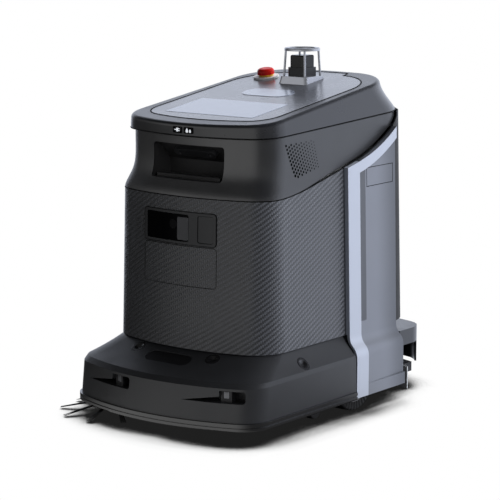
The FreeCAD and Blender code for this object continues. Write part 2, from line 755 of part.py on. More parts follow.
# Emergency stop: round plate, collar and a mushroom button that is pressed along the lid's normal.
stop_x = size("stop_x", 110, "emergency stop from the middle, on the robot's right")
stop_y = size("stop_y", 100, "emergency stop behind the axle")
stop_plate_radius = size("stop_plate_radius", 30, "radius of the emergency stop's plate")
stop_plate_thick = size("stop_plate_thick", 4, "thickness of the emergency stop's plate")
collar_radius = size("collar_radius", 17.5, "radius of the emergency stop's collar")
collar_tall = size("collar_tall", 6, "height of the emergency stop's collar")
stem_radius = size("stem_radius", 8, "radius of the button's stem")
running_gap = size("running_gap", 0.05, "radial clearance of a running fit")
button_radius = size("button_radius", 20, "radius of the mushroom button")
button_tall = size("button_tall", 13.5, "height of the mushroom's head")
button_round = size("button_round", 8, "rounding of the mushroom's head")
button_travel = size("button_travel", 4, "travel of the button")
skirt_gap = size("skirt_gap", 0.5, "room between the button's skirt and the collar")

estop_plate = body("estop_plate")
ring = Drawing(estop_plate, "XY_Plane")
ring.disc(0, 0, stop_plate_radius)
ring.disc(0, 0, stem_radius + running_gap)
pad(estop_plate, ring.done(), stop_plate_thick)
keep(on_top(estop_plate, -stop_x, stop_y), "estop_plate")

estop_collar = body("estop_collar")
ring = Drawing(estop_collar, "XY_Plane", stop_plate_thick)
ring.disc(0, 0, collar_radius)
ring.disc(0, 0, stem_radius + running_gap)
pad(estop_collar, ring.done(), collar_tall)
keep(on_top(estop_collar, -stop_x, stop_y), "estop_collar")

estop_button = body("estop_button")
head_low = stop_plate_thick + button_travel + seat_gap
pad(estop_button, Drawing(estop_button, "XY_Plane", head_low).disc(0, 0, button_radius).done(), button_tall)
round_edges(estop_button, button_round, at_height(head_low + button_tall))
skirt = Drawing(estop_button, "XY_Plane", head_low).disc(0, 0, collar_radius + skirt_gap).done()
pocket(estop_button, skirt, collar_tall, back=True)
stem_low = button_travel + seat_gap
stem = Drawing(estop_button, "XY_Plane", stem_low).disc(0, 0, stem_radius).done()
pad(estop_button, stem, head_low - stem_low + button_tall * 0.75)
keep(on_top(estop_button, -stop_x, stop_y), "estop_button")

# Lidar on the lid: a wedge mount with a level top, a guard of four posts and a ring, the scanner inside.
lidar_y = size("lidar_y", 92, "lidar centre behind the axle")
mount_half = size("mount_half", 37, "half width of the lidar mount")
mount_round = size("mount_round", 10, "corner radius of the lidar mount")
mount_flare = size("mount_flare", 5, "how far the mount's walls flare out down to the lid")
mount_top = size("mount_top", 736, "height of the lidar mount's level top")
guard_top = size("guard_top", 800.5, "top of the lidar guard, the robot's highest point")
ring_radius = size("ring_radius", 41, "outer radius of the guard's ring")
ring_hole = size("ring_hole", 30, "inner radius of the guard's ring")
ring_thick = size("ring_thick", 6.5, "thickness of the guard's ring")
ring_round = size("ring_round", 3, "rounding of the guard's ring")
post_radius = size("post_radius", 2.6, "radius of each guard post")
post_foot = size("post_foot", 29.5, "distance of the posts' feet from the lidar's middle planes")
post_head = size("post_head", 26.5, "distance of the posts' heads from the lidar's middle planes")
scanner_half = size("scanner_half", 25, "half width of the lidar base")
scanner_round = size("scanner_round", 8, "corner radius of the lidar base")
scanner_tall = size("scanner_tall", 20, "height of the lidar base")
window_half = size("window_half", 21.5, "half width of the lidar window")
window_tall = size("window_tall", 28, "height of the lidar window")
window_wall = size("window_wall", 3, "wall of the lidar window")
rotor_radius = size("rotor_radius", 14, "radius of the spinning lidar head")
rotor_tall = size("rotor_tall", 18, "height of the spinning lidar head")
spindle_radius = size("spindle_radius", 4, "radius of the lidar spindle")
spindle_tall = size("spindle_tall", 14, "height of the lidar spindle")


def lidar_square(item, height, half, corner):
    drawing = Drawing(item, "XY_Plane", height)
    return drawing.rounded(-half, lidar_y - half, half, lidar_y + half, corner).done()


lidar_mount = body("lidar_mount")
mount_base = lidar_square(lidar_mount, lid_top, mount_half + mount_flare, mount_round)
mount_square = lidar_square(lidar_mount, mount_top, mount_half, mount_round)
loft(lidar_mount, [mount_base, mount_square])
pocket(lidar_mount, plane_region(lidar_mount, lid_top, lid_top_rise, False))
keep(lidar_mount, "lidar_mount")

lidar_guard = body("lidar_guard")
ring = Drawing(lidar_guard, "XY_Plane", guard_top - ring_thick)
ring.disc(0, lidar_y, ring_radius)
ring.disc(0, lidar_y, ring_hole)
pad(lidar_guard, ring.done(), ring_thick)
round_edges(lidar_guard, ring_round, at_height(guard_top))
for side in (-1, 1):
    for way in (-1, 1):
        foot = Drawing(lidar_guard, "XY_Plane", mount_top)
        foot.disc(post_foot * side, lidar_y + post_foot * way, post_radius)
        head = Drawing(lidar_guard, "XY_Plane", guard_top - ring_thick / 2)
        head.disc(post_head * side, lidar_y + post_head * way, post_radius)
        loft(lidar_guard, [foot.done(), head.done()])
keep(lidar_guard, "lidar_guard")

scanner_top = mount_top + scanner_tall
lidar_base = body("lidar_base")
pad(lidar_base, lidar_square(lidar_base, mount_top, scanner_half, scanner_round), scanner_tall)
spindle = Drawing(lidar_base, "XY_Plane", scanner_top).disc(0, lidar_y, spindle_radius).done()
pad(lidar_base, spindle, spindle_tall)
keep(lidar_base, "lidar_base")

lidar_window = body("lidar_window")
pad(lidar_window, lidar_square(lidar_window, scanner_top, window_half, scanner_round), window_tall)
round_edges(lidar_window, scanner_round / 2, at_height(scanner_top + window_tall))
hollow = lidar_square(lidar_window, scanner_top, window_half - window_wall, scanner_round - window_wall)
pocket(lidar_window, hollow, window_tall - window_wall, back=True)
keep(lidar_window, "lidar_window")

lidar_rotor = body("lidar_rotor")
rotor_low = scanner_top + seat_gap
drum = Drawing(lidar_rotor, "XY_Plane", rotor_low).disc(0, lidar_y, rotor_radius).done()
pad(lidar_rotor, drum, rotor_tall)
bore = Drawing(lidar_rotor, "XY_Plane", rotor_low).disc(0, lidar_y, spindle_radius + running_gap).done()
pocket(lidar_rotor, bore, spindle_tall, back=True)
keep(lidar_rotor, "lidar_rotor")

# Lid hinge behind the seam: a base with its pin on the rear cover, a leaf on the lid's rear face.
hinge_y = size("hinge_y", 268, "hinge axis behind the axle")
hinge_z = size("hinge_z", 664, "hinge axis height")
barrel_radius = size("barrel_radius", 5, "radius of the hinge knuckles")
pin_radius = size("pin_radius", 2.5, "radius of the hinge pin")
leaf_half = size("leaf_half", 19, "half width of the hinge leaf")
hinge_half = size("hinge_half", 40, "half width of the hinge base")
hinge_drop = size("hinge_drop", 26, "reach of the hinge base below its axis")
leaf_rise = size("leaf_rise", 28, "reach of the hinge leaf above its axis")
leaf_back = size("leaf_back", 22, "how far the leaf's upper end leans in from the axis")
leaf_deep = size("leaf_deep", 22, "depth of the leaf before it is fitted to the lid")

hinge_blank = body("hinge_blank")
plate_top = hinge_z - barrel_radius - seat_gap * 3
plate = Drawing(hinge_blank, "YZ_Plane").polygon([
    (hinge_y - barrel_radius * 3, hinge_z - hinge_drop),
    (hinge_y, hinge_z - hinge_drop),
    (hinge_y + barrel_radius, plate_top),
    (hinge_y - barrel_radius * 3, plate_top),
]).done()
pad(hinge_blank, plate, hinge_half * 2, both=True)
knuckle_wide = hinge_half - leaf_half - seat_gap
for left in (-hinge_half, leaf_half + seat_gap):
    knuckle = Drawing(hinge_blank, "YZ_Plane", left).disc(hinge_y, hinge_z, barrel_radius).done()
    pad(hinge_blank, knuckle, knuckle_wide)
    web = Drawing(hinge_blank, "YZ_Plane", left)
    web.box(hinge_y - barrel_radius, plate_top - barrel_radius, hinge_y + barrel_radius, hinge_z)
    pad(hinge_blank, web.done(), knuckle_wide)
pin = Drawing(hinge_blank, "YZ_Plane").disc(hinge_y, hinge_z, pin_radius).done()
pad(hinge_blank, pin, hinge_half * 2, both=True)
hinge_seat = body_solid("hinge_seat", -seat_gap, body_base, shell_top)
keep(cut("lid_hinge_base", hinge_blank, hinge_seat), "lid_hinge_base")

leaf_blank = body("leaf_blank")
leaf = Drawing(leaf_blank, "YZ_Plane").polygon([
    (hinge_y - leaf_deep, hinge_z + barrel_radius / 2),
    (hinge_y + barrel_radius, hinge_z + barrel_radius / 4),
    (hinge_y + barrel_radius, hinge_z + barrel_radius),
    (hinge_y - leaf_back, hinge_z + leaf_rise),
    (hinge_y - leaf_back - leaf_deep, hinge_z + leaf_rise),
]).done()
pad(leaf_blank, leaf, leaf_half * 2, both=True)
barrel = Drawing(leaf_blank, "YZ_Plane").disc(hinge_y, hinge_z, barrel_radius).done()
pad(leaf_blank, barrel, leaf_half * 2, both=True)
bore = Drawing(leaf_blank, "YZ_Plane").disc(hinge_y, hinge_z, pin_radius + running_gap).done()
pocket(leaf_blank, bore)
keep(cut("lid_hinge_leaf", leaf_blank, lid_solid("leaf_seat", -seat_gap)), "lid_hinge_leaf")

# Front bumper: an upright apron with a shoulder, swept up to the body in a hollow curve.
bumper_low = size("bumper_low", 54, "lower edge of the bumper")
bumper_half = size("bumper_half", 252, "half width of the bumper")
bumper_front = size("bumper_front", 467, "reach of the bumper ahead of the axle")
bumper_corner = size("bumper_corner", 66, "corner radius of the bumper")
bumper_bow = size("bumper_bow", 560, "radius of the bumper's bowed front")
bumper_rear = size("bumper_rear", 41, "rear end of the bumper, ahead of the axle")
bumper_wall = size("bumper_wall", 4, "wall of the bumper")
shoulder_low = size("shoulder_low", 126, "height where the apron ends")
shoulder_high = size("shoulder_high", 136, "height where the hollow curve starts")
apron_lean = size("apron_lean", 8, "how far the apron's front leans back")
shoulder_back = size("shoulder_back", 19, "how far the shoulder stands back from the lower edge")
bumper_top = size("bumper_top", 177.5, "top edge of the bumper, under the body")
top_tuck = size("top_tuck", 5, "how far the bumper's top lies inside the body's outline")
bumper_travel = size("bumper_travel", 6, "travel of the bumper when it is pushed in")


def bumper_plan(share, lean, depth):
    """Plan of the bumper, from its lower edge at share 0 to its top edge at share 1."""
    top = inset(body_plan, top_tuck)
    return Plan(
        bumper_half - lean / 8 - (bumper_half - lean / 8 - top.half) * share - depth,
        bumper_front - lean - (bumper_front - lean - top.front) * share - depth,
        top.rear - depth,
        bumper_corner - (bumper_corner - top.front_corner) * share - depth,
        top.rear_corner - depth,
        bumper_bow - (bumper_bow - top.front_bow) * share - depth,
        top.rear_bow - depth,
    )


def bumper_solid(label, depth, low):
    """The bumper as a plain solid, moved inwards and down by a depth."""
    item = body(label)
    apron = (
        (low, plain(0)),
        (shoulder_low - depth, apron_lean),
        (shoulder_high - depth, shoulder_back),
    )
    sections = []
    for height, lean in apron:
        sections.append(Drawing(item, "XY_Plane", height).outline(bumper_plan(0, lean, depth)).done())
    loft(item, sections)
    rise = bumper_top - shoulder_high
    sections = []
    for part, share in ((0, 0), (0.25, 0.3), (0.5, 0.56), (0.75, 0.79), (1, 1)):
        height = shoulder_high - depth + rise * part
        drawing = Drawing(item, "XY_Plane", height)
        sections.append(drawing.outline(bumper_plan(share, shoulder_back, depth)).done())
    loft(item, sections, ruled=False)
    return item


def cut_rear(item):
    """Trim a piece of the bumper at the bumper's rear end."""
    pocket(item, Drawing(item, "YZ_Plane").box(-bumper_rear, -reach, reach, reach).done())


def bumper_core(label, depth):
    """The space inside the bumper, open at the top and below."""
    item = bumper_solid(label, depth, bumper_low - bumper_wall)
    throat = Drawing(item, "XY_Plane", bumper_top - depth)
    throat = throat.outline(bumper_plan(1, shoulder_back, depth)).done()
    pad(item, throat, depth * 2)
    return item


bumper_outer = bumper_solid("bumper_outer", plain(0), bumper_low)
cut_rear(bumper_outer)
bumper_hollow = bumper_core("bumper_hollow", bumper_wall)
bumper_inside = bumper_core("bumper_inside", bumper_wall + seat_gap)

# Round distance sensors with a conical dimple, on the bumper's curve at the front and the sides.
sensor_radius = size("sensor_radius", 16.5, "radius of each round sensor")
sensor_thick = size("sensor_thick", 8, "thickness of each round sensor")
dimple_radius = size("dimple_radius", 11, "radius of the sensor's dimple")
dimple_deep = size("dimple_deep", 4, "depth of the sensor's dimple")
front_sensor_x = size("front_sensor_x", 104, "front sensors from the middle")
front_sensor_y = size("front_sensor_y", 365, "front sensors ahead of the axle")
front_sensor_z = size("front_sensor_z", 167, "height of the front sensors")
side_sensor_x = size("side_sensor_x", 237, "side sensors from the middle")
side_sensor_y = size("side_sensor_y", 218, "side sensors ahead of the axle")
side_sensor_z = size("side_sensor_z", 148.7, "height of the side sensors")
front_tilt = size("front_tilt", 26, "tilt of the front sensors in degrees")
front_turn = size("front_turn", 11, "turn of the front sensors to their side in degrees")
side_tilt = size("side_tilt", 47.5, "tilt of the side sensors in degrees")


def tilted(item, x, y, z, turn, tilt):
    """Place a piece drawn on the floor with its own up leaning out by a tilt, at a turn round the robot."""
    lean = FreeCAD.Rotation(FreeCAD.Vector(1, 0, 0), number(tilt))
    item.Placement = FreeCAD.Placement(
        FreeCAD.Vector(0, 0, 0), FreeCAD.Rotation(FreeCAD.Vector(0, 0, 1), turn).multiply(lean))
    for axis, value in (("x", x), ("y", y), ("z", z)):
        bind(item, f"Placement.Base.{axis}", value)
    return item


def sensor_places(radius):
    for name, x, y, z, turn, tilt in (
        ("front", front_sensor_x, -front_sensor_y, front_sensor_z, number(front_turn), front_tilt),
        ("side", side_sensor_x, -side_sensor_y, side_sensor_z, 90, side_tilt),
    ):
        item = body(f"{name}_sensor")
        drawing = Drawing(item, "XY_Plane", -sensor_thick).disc(0, 0, radius).done()
        yield item, drawing, (x, y, z, turn, tilt)


sensors = []
for item, drawing, place in sensor_places(sensor_radius):
    pad(item, drawing, sensor_thick)
    rim = Drawing(item, "XY_Plane").disc(0, 0, dimple_radius).done()
    tip = Drawing(item, "XY_Plane", -dimple_deep).disc(0, 0, dimple_radius / 3).done()
    loft(item, [rim, tip], cut=True)
    sensors.append(tilted(item, *place))
sensor_holes = []
for item, drawing, place in sensor_places(sensor_radius + seat_gap):
    pad(item, drawing, sensor_thick * 4, both=True)
    sensor_holes.append(tilted(item, *place))


group("round_sensors", *sensors, *[twin_of(s) for s in sensors])

# Long round-ended window let into the bumper's curve, in the middle.
window_long = size("window_long", 61, "half length of the bumper window")
window_wide = size("window_wide", 18, "half height of the bumper window")
window_y = size("window_y", 388.5, "bumper window ahead of the axle")
window_z = size("window_z", 160, "height of the bumper window")
window_tilt = size("window_tilt", 26, "tilt of the bumper window in degrees")
window_sunk = size("window_sunk", 2, "how far the bumper window is sunk")
pane_thick = size("pane_thick", 5, "thickness of the bumper window")

bumper_window = body("bumper_window")
pane = Drawing(bumper_window, "XY_Plane", -window_sunk - pane_thick)
pane.stadium(-window_long + seat_gap, window_long - seat_gap, 0, window_wide - seat_gap)
pad(bumper_window, pane.done(), pane_thick)
keep(tilted(bumper_window, 0, -window_y, window_z, 0, window_tilt), "bumper_window")
window_hole = body("window_hole")
mouth = Drawing(window_hole, "XY_Plane").stadium(-window_long, window_long, 0, window_wide).done()
pad(window_hole, mouth, pane_thick * 6, both=True)
tilted(window_hole, 0, -window_y, window_z, 0, window_tilt)

# Line lasers: two wedge-shaped slots of one hand in the apron, each before a tray with its emitter.
fan_tip = size("fan_tip", 70, "pointed end of each laser slot from the slot's middle")
fan_end = size("fan_end", 75, "blunt end of each laser slot from the slot's middle")
fan_low = size("fan_low", 95, "lower edge of each laser slot")
fan_high = size("fan_high", 121, "upper edge of each laser slot at its blunt end")
fan_step = size("fan_step", 18, "where each laser slot steps up to its full height")
fan_sill = size("fan_sill", 14, "height of each laser slot beside the step")
fan_round = size("fan_round", 7, "rounding of each laser slot's blunt end")
left_fan = size("left_fan", 16.7, "turn of the left laser slot round the bow's centre in degrees")
right_fan = size("right_fan", 13, "turn of the right laser slot round the bow's centre in degrees")
tray_back = size("tray_back", 45, "depth of the laser trays behind the bumper's nose")
tray_wall = size("tray_wall", 3, "wall of the laser trays")
emitter_sunk = size("emitter_sunk", 17, "how far each laser emitter lies behind the bumper's nose")
emitter_wide = size("emitter_wide", 25, "width of each laser emitter")
lens_edge = size("lens_edge", 6, "edge of each laser emitter round its lens")
lens_deep = size("lens_deep", 1, "depth of each laser lens")
tray_seat = bumper_bow - tray_back


def turned(item, turn, way):
    """Turn a piece drawn at the nose to one side, round the centre of the bumper's bow."""
    item.Placement = FreeCAD.Placement(
        FreeCAD.Vector(0, 0, 0), FreeCAD.Rotation(FreeCAD.Vector(0, 0, way), number(turn)))
    bind(item, "Placement.Rotation.Angle", turn)
    bind(item, "Placement.Base.y", bumper_bow - bumper_front)
    return item


def fan_prism(label, grow, back):
    """A wedge-shaped bar from ahead of the robot back to a plane."""
    item = body(label)
    drawing = Drawing(item, "XZ_Plane", back)
    drawing.polygon([
        (-fan_tip - grow * 4, fan_low - grow),
        (fan_end + grow, fan_low - grow),
        (fan_end + grow, fan_high + grow),
        (fan_step - grow, fan_high + grow),
        (fan_step - grow, fan_low + fan_sill + grow),
    ])
    pad(item, drawing.done(), reach)
    blunt = number(fan_end + grow) - 0.1
    round_edges(item, fan_round + grow, lambda edge: edge.BoundBox.XMin > blunt and edge.BoundBox.YLength > 1)
    return item


lasers = []
fan_slots = []
for label, turn, way in (("left", left_fan, 1), ("right", right_fan, -1)):
    slot = turned(fan_prism(f"{label}_slot", plain(0), tray_seat), turn, way)
    bar = turned(fan_prism(f"{label}_bar", tray_wall, tray_seat - tray_wall), turn, way)
    emitter = turned(body(f"{label}_emitter"), turn, way)
    block = Drawing(emitter, "XZ_Plane", tray_seat - tray_wall / 2)
    block.box(fan_step, fan_low - tray_wall / 2, fan_step + emitter_wide, fan_high + tray_wall / 2)
    pad(emitter, block.done(), bumper_bow - emitter_sunk - tray_seat + tray_wall / 2)
    lens = Drawing(emitter, "XZ_Plane", bumper_bow - emitter_sunk)
    lens.box(
        fan_step + lens_edge, fan_low + lens_edge * 1.3,
        fan_step + emitter_wide - lens_edge, fan_high - lens_edge / 2)
    pocket(emitter, lens.done(), lens_deep)
    tray = cut(f"{label}_tray", common(f"{label}_block", bar, bumper_inside), slot)
    lasers.append(fused(f"{label}_laser", tray, emitter))
    fan_slots.append(slot)
group("line_lasers", *lasers)

# Bumper guides: rods that slide in bushes of the chassis.
guide_x = size("guide_x", 120, "bumper guide from the middle")
guide_z = size("guide_z", 75, "height of the bumper guides")
guide_radius = size("guide_radius", 6, "radius of the bumper guides")
guide_end = size("guide_end", 322, "rear end of the bumper guides, ahead of the axle")
guide_bar = body("guide_bar")
rod = Drawing(guide_bar, "XZ_Plane", guide_end).disc(guide_x, guide_z, guide_radius).done()
pad(guide_bar, rod, reach)
guide = common("guide", guide_bar, bumper_inside)
group("bumper_guides", guide, twin_of(guide))

bumper_cuts = [bumper_hollow, window_hole] + fan_slots
bumper_cuts += sensor_holes + [twin_of(hole) for hole in sensor_holes]
keep(cut("bumper", bumper_outer, *bumper_cuts), "bumper")

# Bumper strip: a soft double bead round the bumper's lower edge.
strip_low = size("strip_low", 37, "lower edge of the bumper strip")
strip_proud = size("strip_proud", 5, "how far the strip's beads stand off the bumper")
strip_groove = size("strip_groove", 2.5, "depth and height of the groove between the beads")
strip_thick = size("strip_thick", 12, "thickness of the strip")
bead_round = size("bead_round", 2.5, "rounding of the strip's beads")
bumper_strip = body("bumper_strip")
strip_plan = bumper_plan(0, plain(0), -strip_proud)
outer = Drawing(bumper_strip, "XY_Plane", strip_low).outline(strip_plan).done()
pad(bumper_strip, outer, bumper_low - strip_low)
round_edges(bumper_strip, bead_round, at_height(strip_low))
inner = Drawing(bumper_strip, "XY_Plane", strip_low).outline(inset(strip_plan, strip_thick)).done()
pocket(bumper_strip, inner)
groove = Drawing(bumper_strip, "XY_Plane", (strip_low + bumper_low - strip_groove) / 2)
groove.outline(inset(strip_plan, -strip_thick))
groove.outline(inset(strip_plan, strip_groove))
pocket(bumper_strip, groove.done(), strip_groove, back=True)
cut_rear(bumper_strip)
keep(bumper_strip, "bumper_strip")

# Side wings: a bright band along the front and top edges, a slot, a tapering panel and a flared foot.
wing_front = size("wing_front", 34, "front edge of the wings, ahead of the axle")
wing_rear = size("wing_rear", 157, "rear edge of the wings, behind the axle")
wing_low = size("wing_low", 37, "lower edge of the wings")
wing_half = size("wing_half", 250, "half width over the wings' feet")
wing_proud = size("wing_proud", 11, "how far the band stands off the body")
flare_high = size("flare_high", 176, "height where the foot starts to flare")
flare_low = size("flare_low", 128, "height where the flare ends")
foot_crease = size("foot_crease", 64, "height of the crease along the wing's foot")
skirt_wall = size("skirt_wall", 7, "wall of the wing's foot at its band")
band_rear = size("band_rear", 11, "rear edge of the upright band, behind the axle")
band_top = size("band_top", 26, "height of the band below the seam")
slot_rear = size("slot_rear", 35, "rear edge of the slot, behind the axle")
slot_low = size("slot_low", 203, "lower end of the slot")
slot_floor = size("slot_floor", 4, "how far the slot's floor stands off the body")
panel_lift = size("panel_lift", 9, "how far the panel's front edge stands off the body")
panel_fade = size("panel_fade", 6, "how far the panel's rear edge stands off the body")


def body_side(height):
    """Half width of the drafted body at a height."""
    return body_half - (height - body_base) * draft


def wing_section(item, y, shift, low):
    """The wing's front view at a distance behind the axle, drafted above and flared below."""
    high = seam_level + reach / 6
    start = body_side(flare_high) + wing_proud - shift
    end = wing_half - shift
    half_rise = (flare_high - flare_low) / 2
    half_run = (end - start) / 2
    bend = (number(half_rise) ** 2 + number(half_run) ** 2) / number(half_run) / 2
    turn = math.degrees(math.asin(number(half_rise) / bend))
    inner = body_half - wing_proud * 3
    drawing = Drawing(item, "XZ_Plane", -y)
    side = drawing.line((body_side(high) + wing_proud - shift, high), (start, flare_high))
    upper = drawing.arc((number(start) + bend, number(flare_high)), bend, 180, 180 + turn)
    lower = drawing.arc((number(end) - bend, number(flare_low)), bend, 0, turn)
    skirt = drawing.line((end, flare_low), (end, low))
    base = drawing.line((end, low), (inner, low))
    back = drawing.line((inner, low), (inner, high))
    top = drawing.line((inner, high), (body_side(high) + wing_proud - shift, high))
    drawing.rule("Coincident", side, 2, upper, 1)
    drawing.rule("Tangent", upper, 2, lower, 2)
    drawing.rule("Equal", upper, lower)
    drawing.rule("Coincident", lower, 1, skirt, 1)
    for a, b in ((skirt, base), (base, back), (back, top), (top, side)):
        drawing.rule("Coincident", a, 2, b, 1)
    drawing.rule("Horizontal", upper, 3, upper, 1)
    drawing.rule("Horizontal", lower, 3, lower, 1)
    drawing.locate(side, 1, body_side(high) + wing_proud - shift, high)
    drawing.locate(side, 2, start, flare_high)
    drawing.locate(skirt, 1, end, flare_low)
    drawing.locate(skirt, 2, end, low)
    drawing.locate(back, 1, inner, low)
    drawing.locate(back, 2, inner, high)
    return drawing.done()


def wing_profile(label, shift, low):
    """The wing's front view, run from its front to its rear edge."""
    item = body(label)
    pad(item, wing_section(item, -wing_front, shift, low), wing_front + wing_rear, back=True)
    return item


def wing_recess(label, points, low, high):
    """A cut down the wing's face whose plan follows the body's draft; points are (stand-off, y)."""
    item = body(label)
    sections = []
    for height in (low, high):
        side = body_side(height)
        corners = [(side + off, y) for off, y in points]
        sections.append(Drawing(item, "XY_Plane", height).polygon(corners).done())
    loft(item, sections)
    pocket(item, seam_region(item, True, -band_top))
    return item


wing_outer = wing_profile("wing_outer", plain(0), wing_low)
pocket(wing_outer, seam_region(wing_outer, True, -seam_gap / 2))
skirt_core = wing_profile("skirt_core", skirt_wall, wing_low - skirt_wall)
pocket(skirt_core, Drawing(skirt_core, "XZ_Plane").box(-reach, body_base + seat_gap, reach, reach).done())
wing_seat = body_solid("wing_seat", -seat_gap, body_base - skirt_wall, shell_top)


def panel_off(y):
    """How far the wing's tapering panel stands off the body."""
    return panel_lift - (panel_lift - panel_fade) * (y - slot_rear) / (wing_rear - slot_rear)


panel_zone = body("panel_zone")
zone = Drawing(panel_zone, "YZ_Plane").box(band_rear, foot_crease, wing_rear + wing_proud, reach).done()
pad(panel_zone, zone, reach)
pocket(panel_zone, seam_region(panel_zone, True, -band_top))
panel_core = body("panel_core")
loft(panel_core, [
    wing_section(panel_core, y, wing_proud - panel_off(y), wing_low - skirt_wall)
    for y in (band_rear, wing_rear + wing_proud)])
panel_step = cut("panel_step", panel_zone, panel_core)
wing_slot = wing_recess("wing_slot", [
    (wing_proud * 2, band_rear), (slot_floor, band_rear),
    (panel_lift, slot_rear), (wing_proud * 2, slot_rear)], slot_low, shell_top)

# Hatch flap near the top of each wing panel, hinged along its rear edge.
flap_front = size("flap_front", 40, "front edge of the hatch flap, behind the axle")
flap_rear = size("flap_rear", 146, "rear edge of the hatch flap, behind the axle")
flap_low = size("flap_low", 504, "lower edge of the hatch flap")
flap_tall = size("flap_tall", 42, "height of the hatch flap")
flap_thick = size("flap_thick", 1.5, "thickness of the hatch flap")


def flap_layer(label, grow, low, high):
    """A slab under the panel's face, the flap itself or the bed it lies in."""
    front = flap_front - grow
    rear = flap_rear + grow
    deep = flap_thick + grow
    proud = grow * 4
    item = body(label)
    sections = []
    for height in (low - grow, high + grow):
        side = body_side(height)
        sections.append(Drawing(item, "XY_Plane", height).polygon([
            (side + panel_off(front) + proud, front),
            (side + panel_off(rear) + proud, rear),
            (side + panel_off(rear) - deep, rear),
            (side + panel_off(front) - deep, front),
        ]).done())
    loft(item, sections)
    return item


wing_flap = keep(flap_layer("wing_flap_left", plain(0), flap_low, flap_low + flap_tall), "wing_flap_left")
mirrored(wing_flap, "wing_flap_right")
flap_bed = flap_layer("flap_bed", seat_gap, flap_low, flap_low + flap_tall)
wing = cut("side_wing_left", wing_outer, skirt_core, wing_seat, panel_step, wing_slot, flap_bed)
keep(wing, "side_wing_left")
mirrored(wing, "side_wing_right")

# Drive wheels: fixed axles with gear motors, dished hubs and tyres.
wheel_radius = size("wheel_radius", 75, "radius of the drive wheels")
wheel_wide = size("wheel_wide", 38, "width of the drive wheels")
wheel_x = size("wheel_x", 203, "drive wheel centre from the middle")
hub_radius = size("hub_radius", 55, "radius of the drive hubs")
hub_dish = size("hub_dish", 9, "depth of the dish in the hub's outer face")
hub_rim = size("hub_rim", 7, "rim round the hub's dish")
hub_boss = size("hub_boss", 20, "radius of the hub's boss")
axle_radius = size("axle_radius", 8, "radius of the drive axles")
tyre_round = size("tyre_round", 5, "rounding of the tyre's shoulders")
motor_radius = size("motor_radius", 16, "radius of the drive gear motors")
motor_long = size("motor_long", 50, "length of the drive gear motors")
axle_cap = size("axle_cap", 4, "thickness of the cap on the axle's end")

wheel_inner = wheel_x - wheel_wide / 2
wheel_outer = wheel_x + wheel_wide / 2


def wheel_disc(item, x, radius):
    return Drawing(item, "YZ_Plane", x).disc(0, wheel_radius, radius).done()


drive_hub = body("drive_hub_left")
pad(drive_hub, wheel_disc(drive_hub, wheel_inner, hub_radius), wheel_wide)
dish = Drawing(drive_hub, "YZ_Plane", wheel_outer)
dish.disc(0, wheel_radius, hub_radius - hub_rim)
dish.disc(0, wheel_radius, hub_boss)
pocket(drive_hub, dish.done(), hub_dish)
pocket(drive_hub, wheel_disc(drive_hub, wheel_x, axle_radius + running_gap))
keep(drive_hub, "drive_hub_left")
mirrored(drive_hub, "drive_hub_right")

drive_tyre = body("drive_tyre_left")
pad(drive_tyre, wheel_disc(drive_tyre, wheel_inner, wheel_radius), wheel_wide)
round_edges(drive_tyre, tyre_round, lambda edge: edge.Length > 1)
pocket(drive_tyre, wheel_disc(drive_tyre, wheel_x, hub_radius))
keep(drive_tyre, "drive_tyre_left")
mirrored(drive_tyre, "drive_tyre_right")

# Chassis: a moulded tub with wheel wells and a flat plate under the bumper.
tub_low = size("tub_low", 52, "underside of the chassis")
tub_floor = size("tub_floor", 6, "thickness of the chassis floor")
jack_half = size("jack_half", 70, "half width of the jacking pad under the chassis")
jack_deep = size("jack_deep", 70, "depth of the jacking pad")
jack_y = size("jack_y", 140, "middle of the jacking pad behind the axle")
jack_thick = size("jack_thick", 6, "how far the jacking pad stands below the chassis")
tub_wall = size("tub_wall", 4, "wall of the chassis tub")
tub_half = size("tub_half", 203, "half width of the chassis tub")
tub_front = size("tub_front", 338, "reach of the tub ahead of the axle")
tub_rear = size("tub_rear", 262, "reach of the tub behind the axle")
tub_corner = size("tub_corner", 72, "front corner radius of the tub")
plate_half = size("plate_half", 228, "half width of the front plate")
plate_front = size("plate_front", 424, "reach of the front plate ahead of the axle")
plate_rear = size("plate_rear", 190, "rear end of the front plate, ahead of the axle")
plate_round = size("plate_round", 70, "corner radius of the front plate")
well_inner = size("well_inner", 170, "inner wall of the wheel wells, from the middle")
well_room = size("well_room", 9, "room round the drive wheel in its well")

tub_plan = Plan(tub_half, tub_front, tub_rear, tub_corner, rear_corner - tub_wall * 3, front_bow, rear_bow)
tub_base = tub_low + tub_floor
well_long = wheel_radius + well_room
well_top = wheel_radius * 2 + well_room
axle_x = well_inner - tub_wall - seat_gap

gear_motor = body("gear_motor")
pad(gear_motor, wheel_disc(gear_motor, axle_x, motor_radius), motor_long, back=True)
axle_end = wheel_outer + seat_gap
pad(gear_motor, wheel_disc(gear_motor, axle_x, axle_radius), axle_end - axle_x)
pad(gear_motor, wheel_disc(gear_motor, axle_end, axle_radius * 1.6), axle_cap)
group("drive_axles", gear_motor, twin_of(gear_motor))

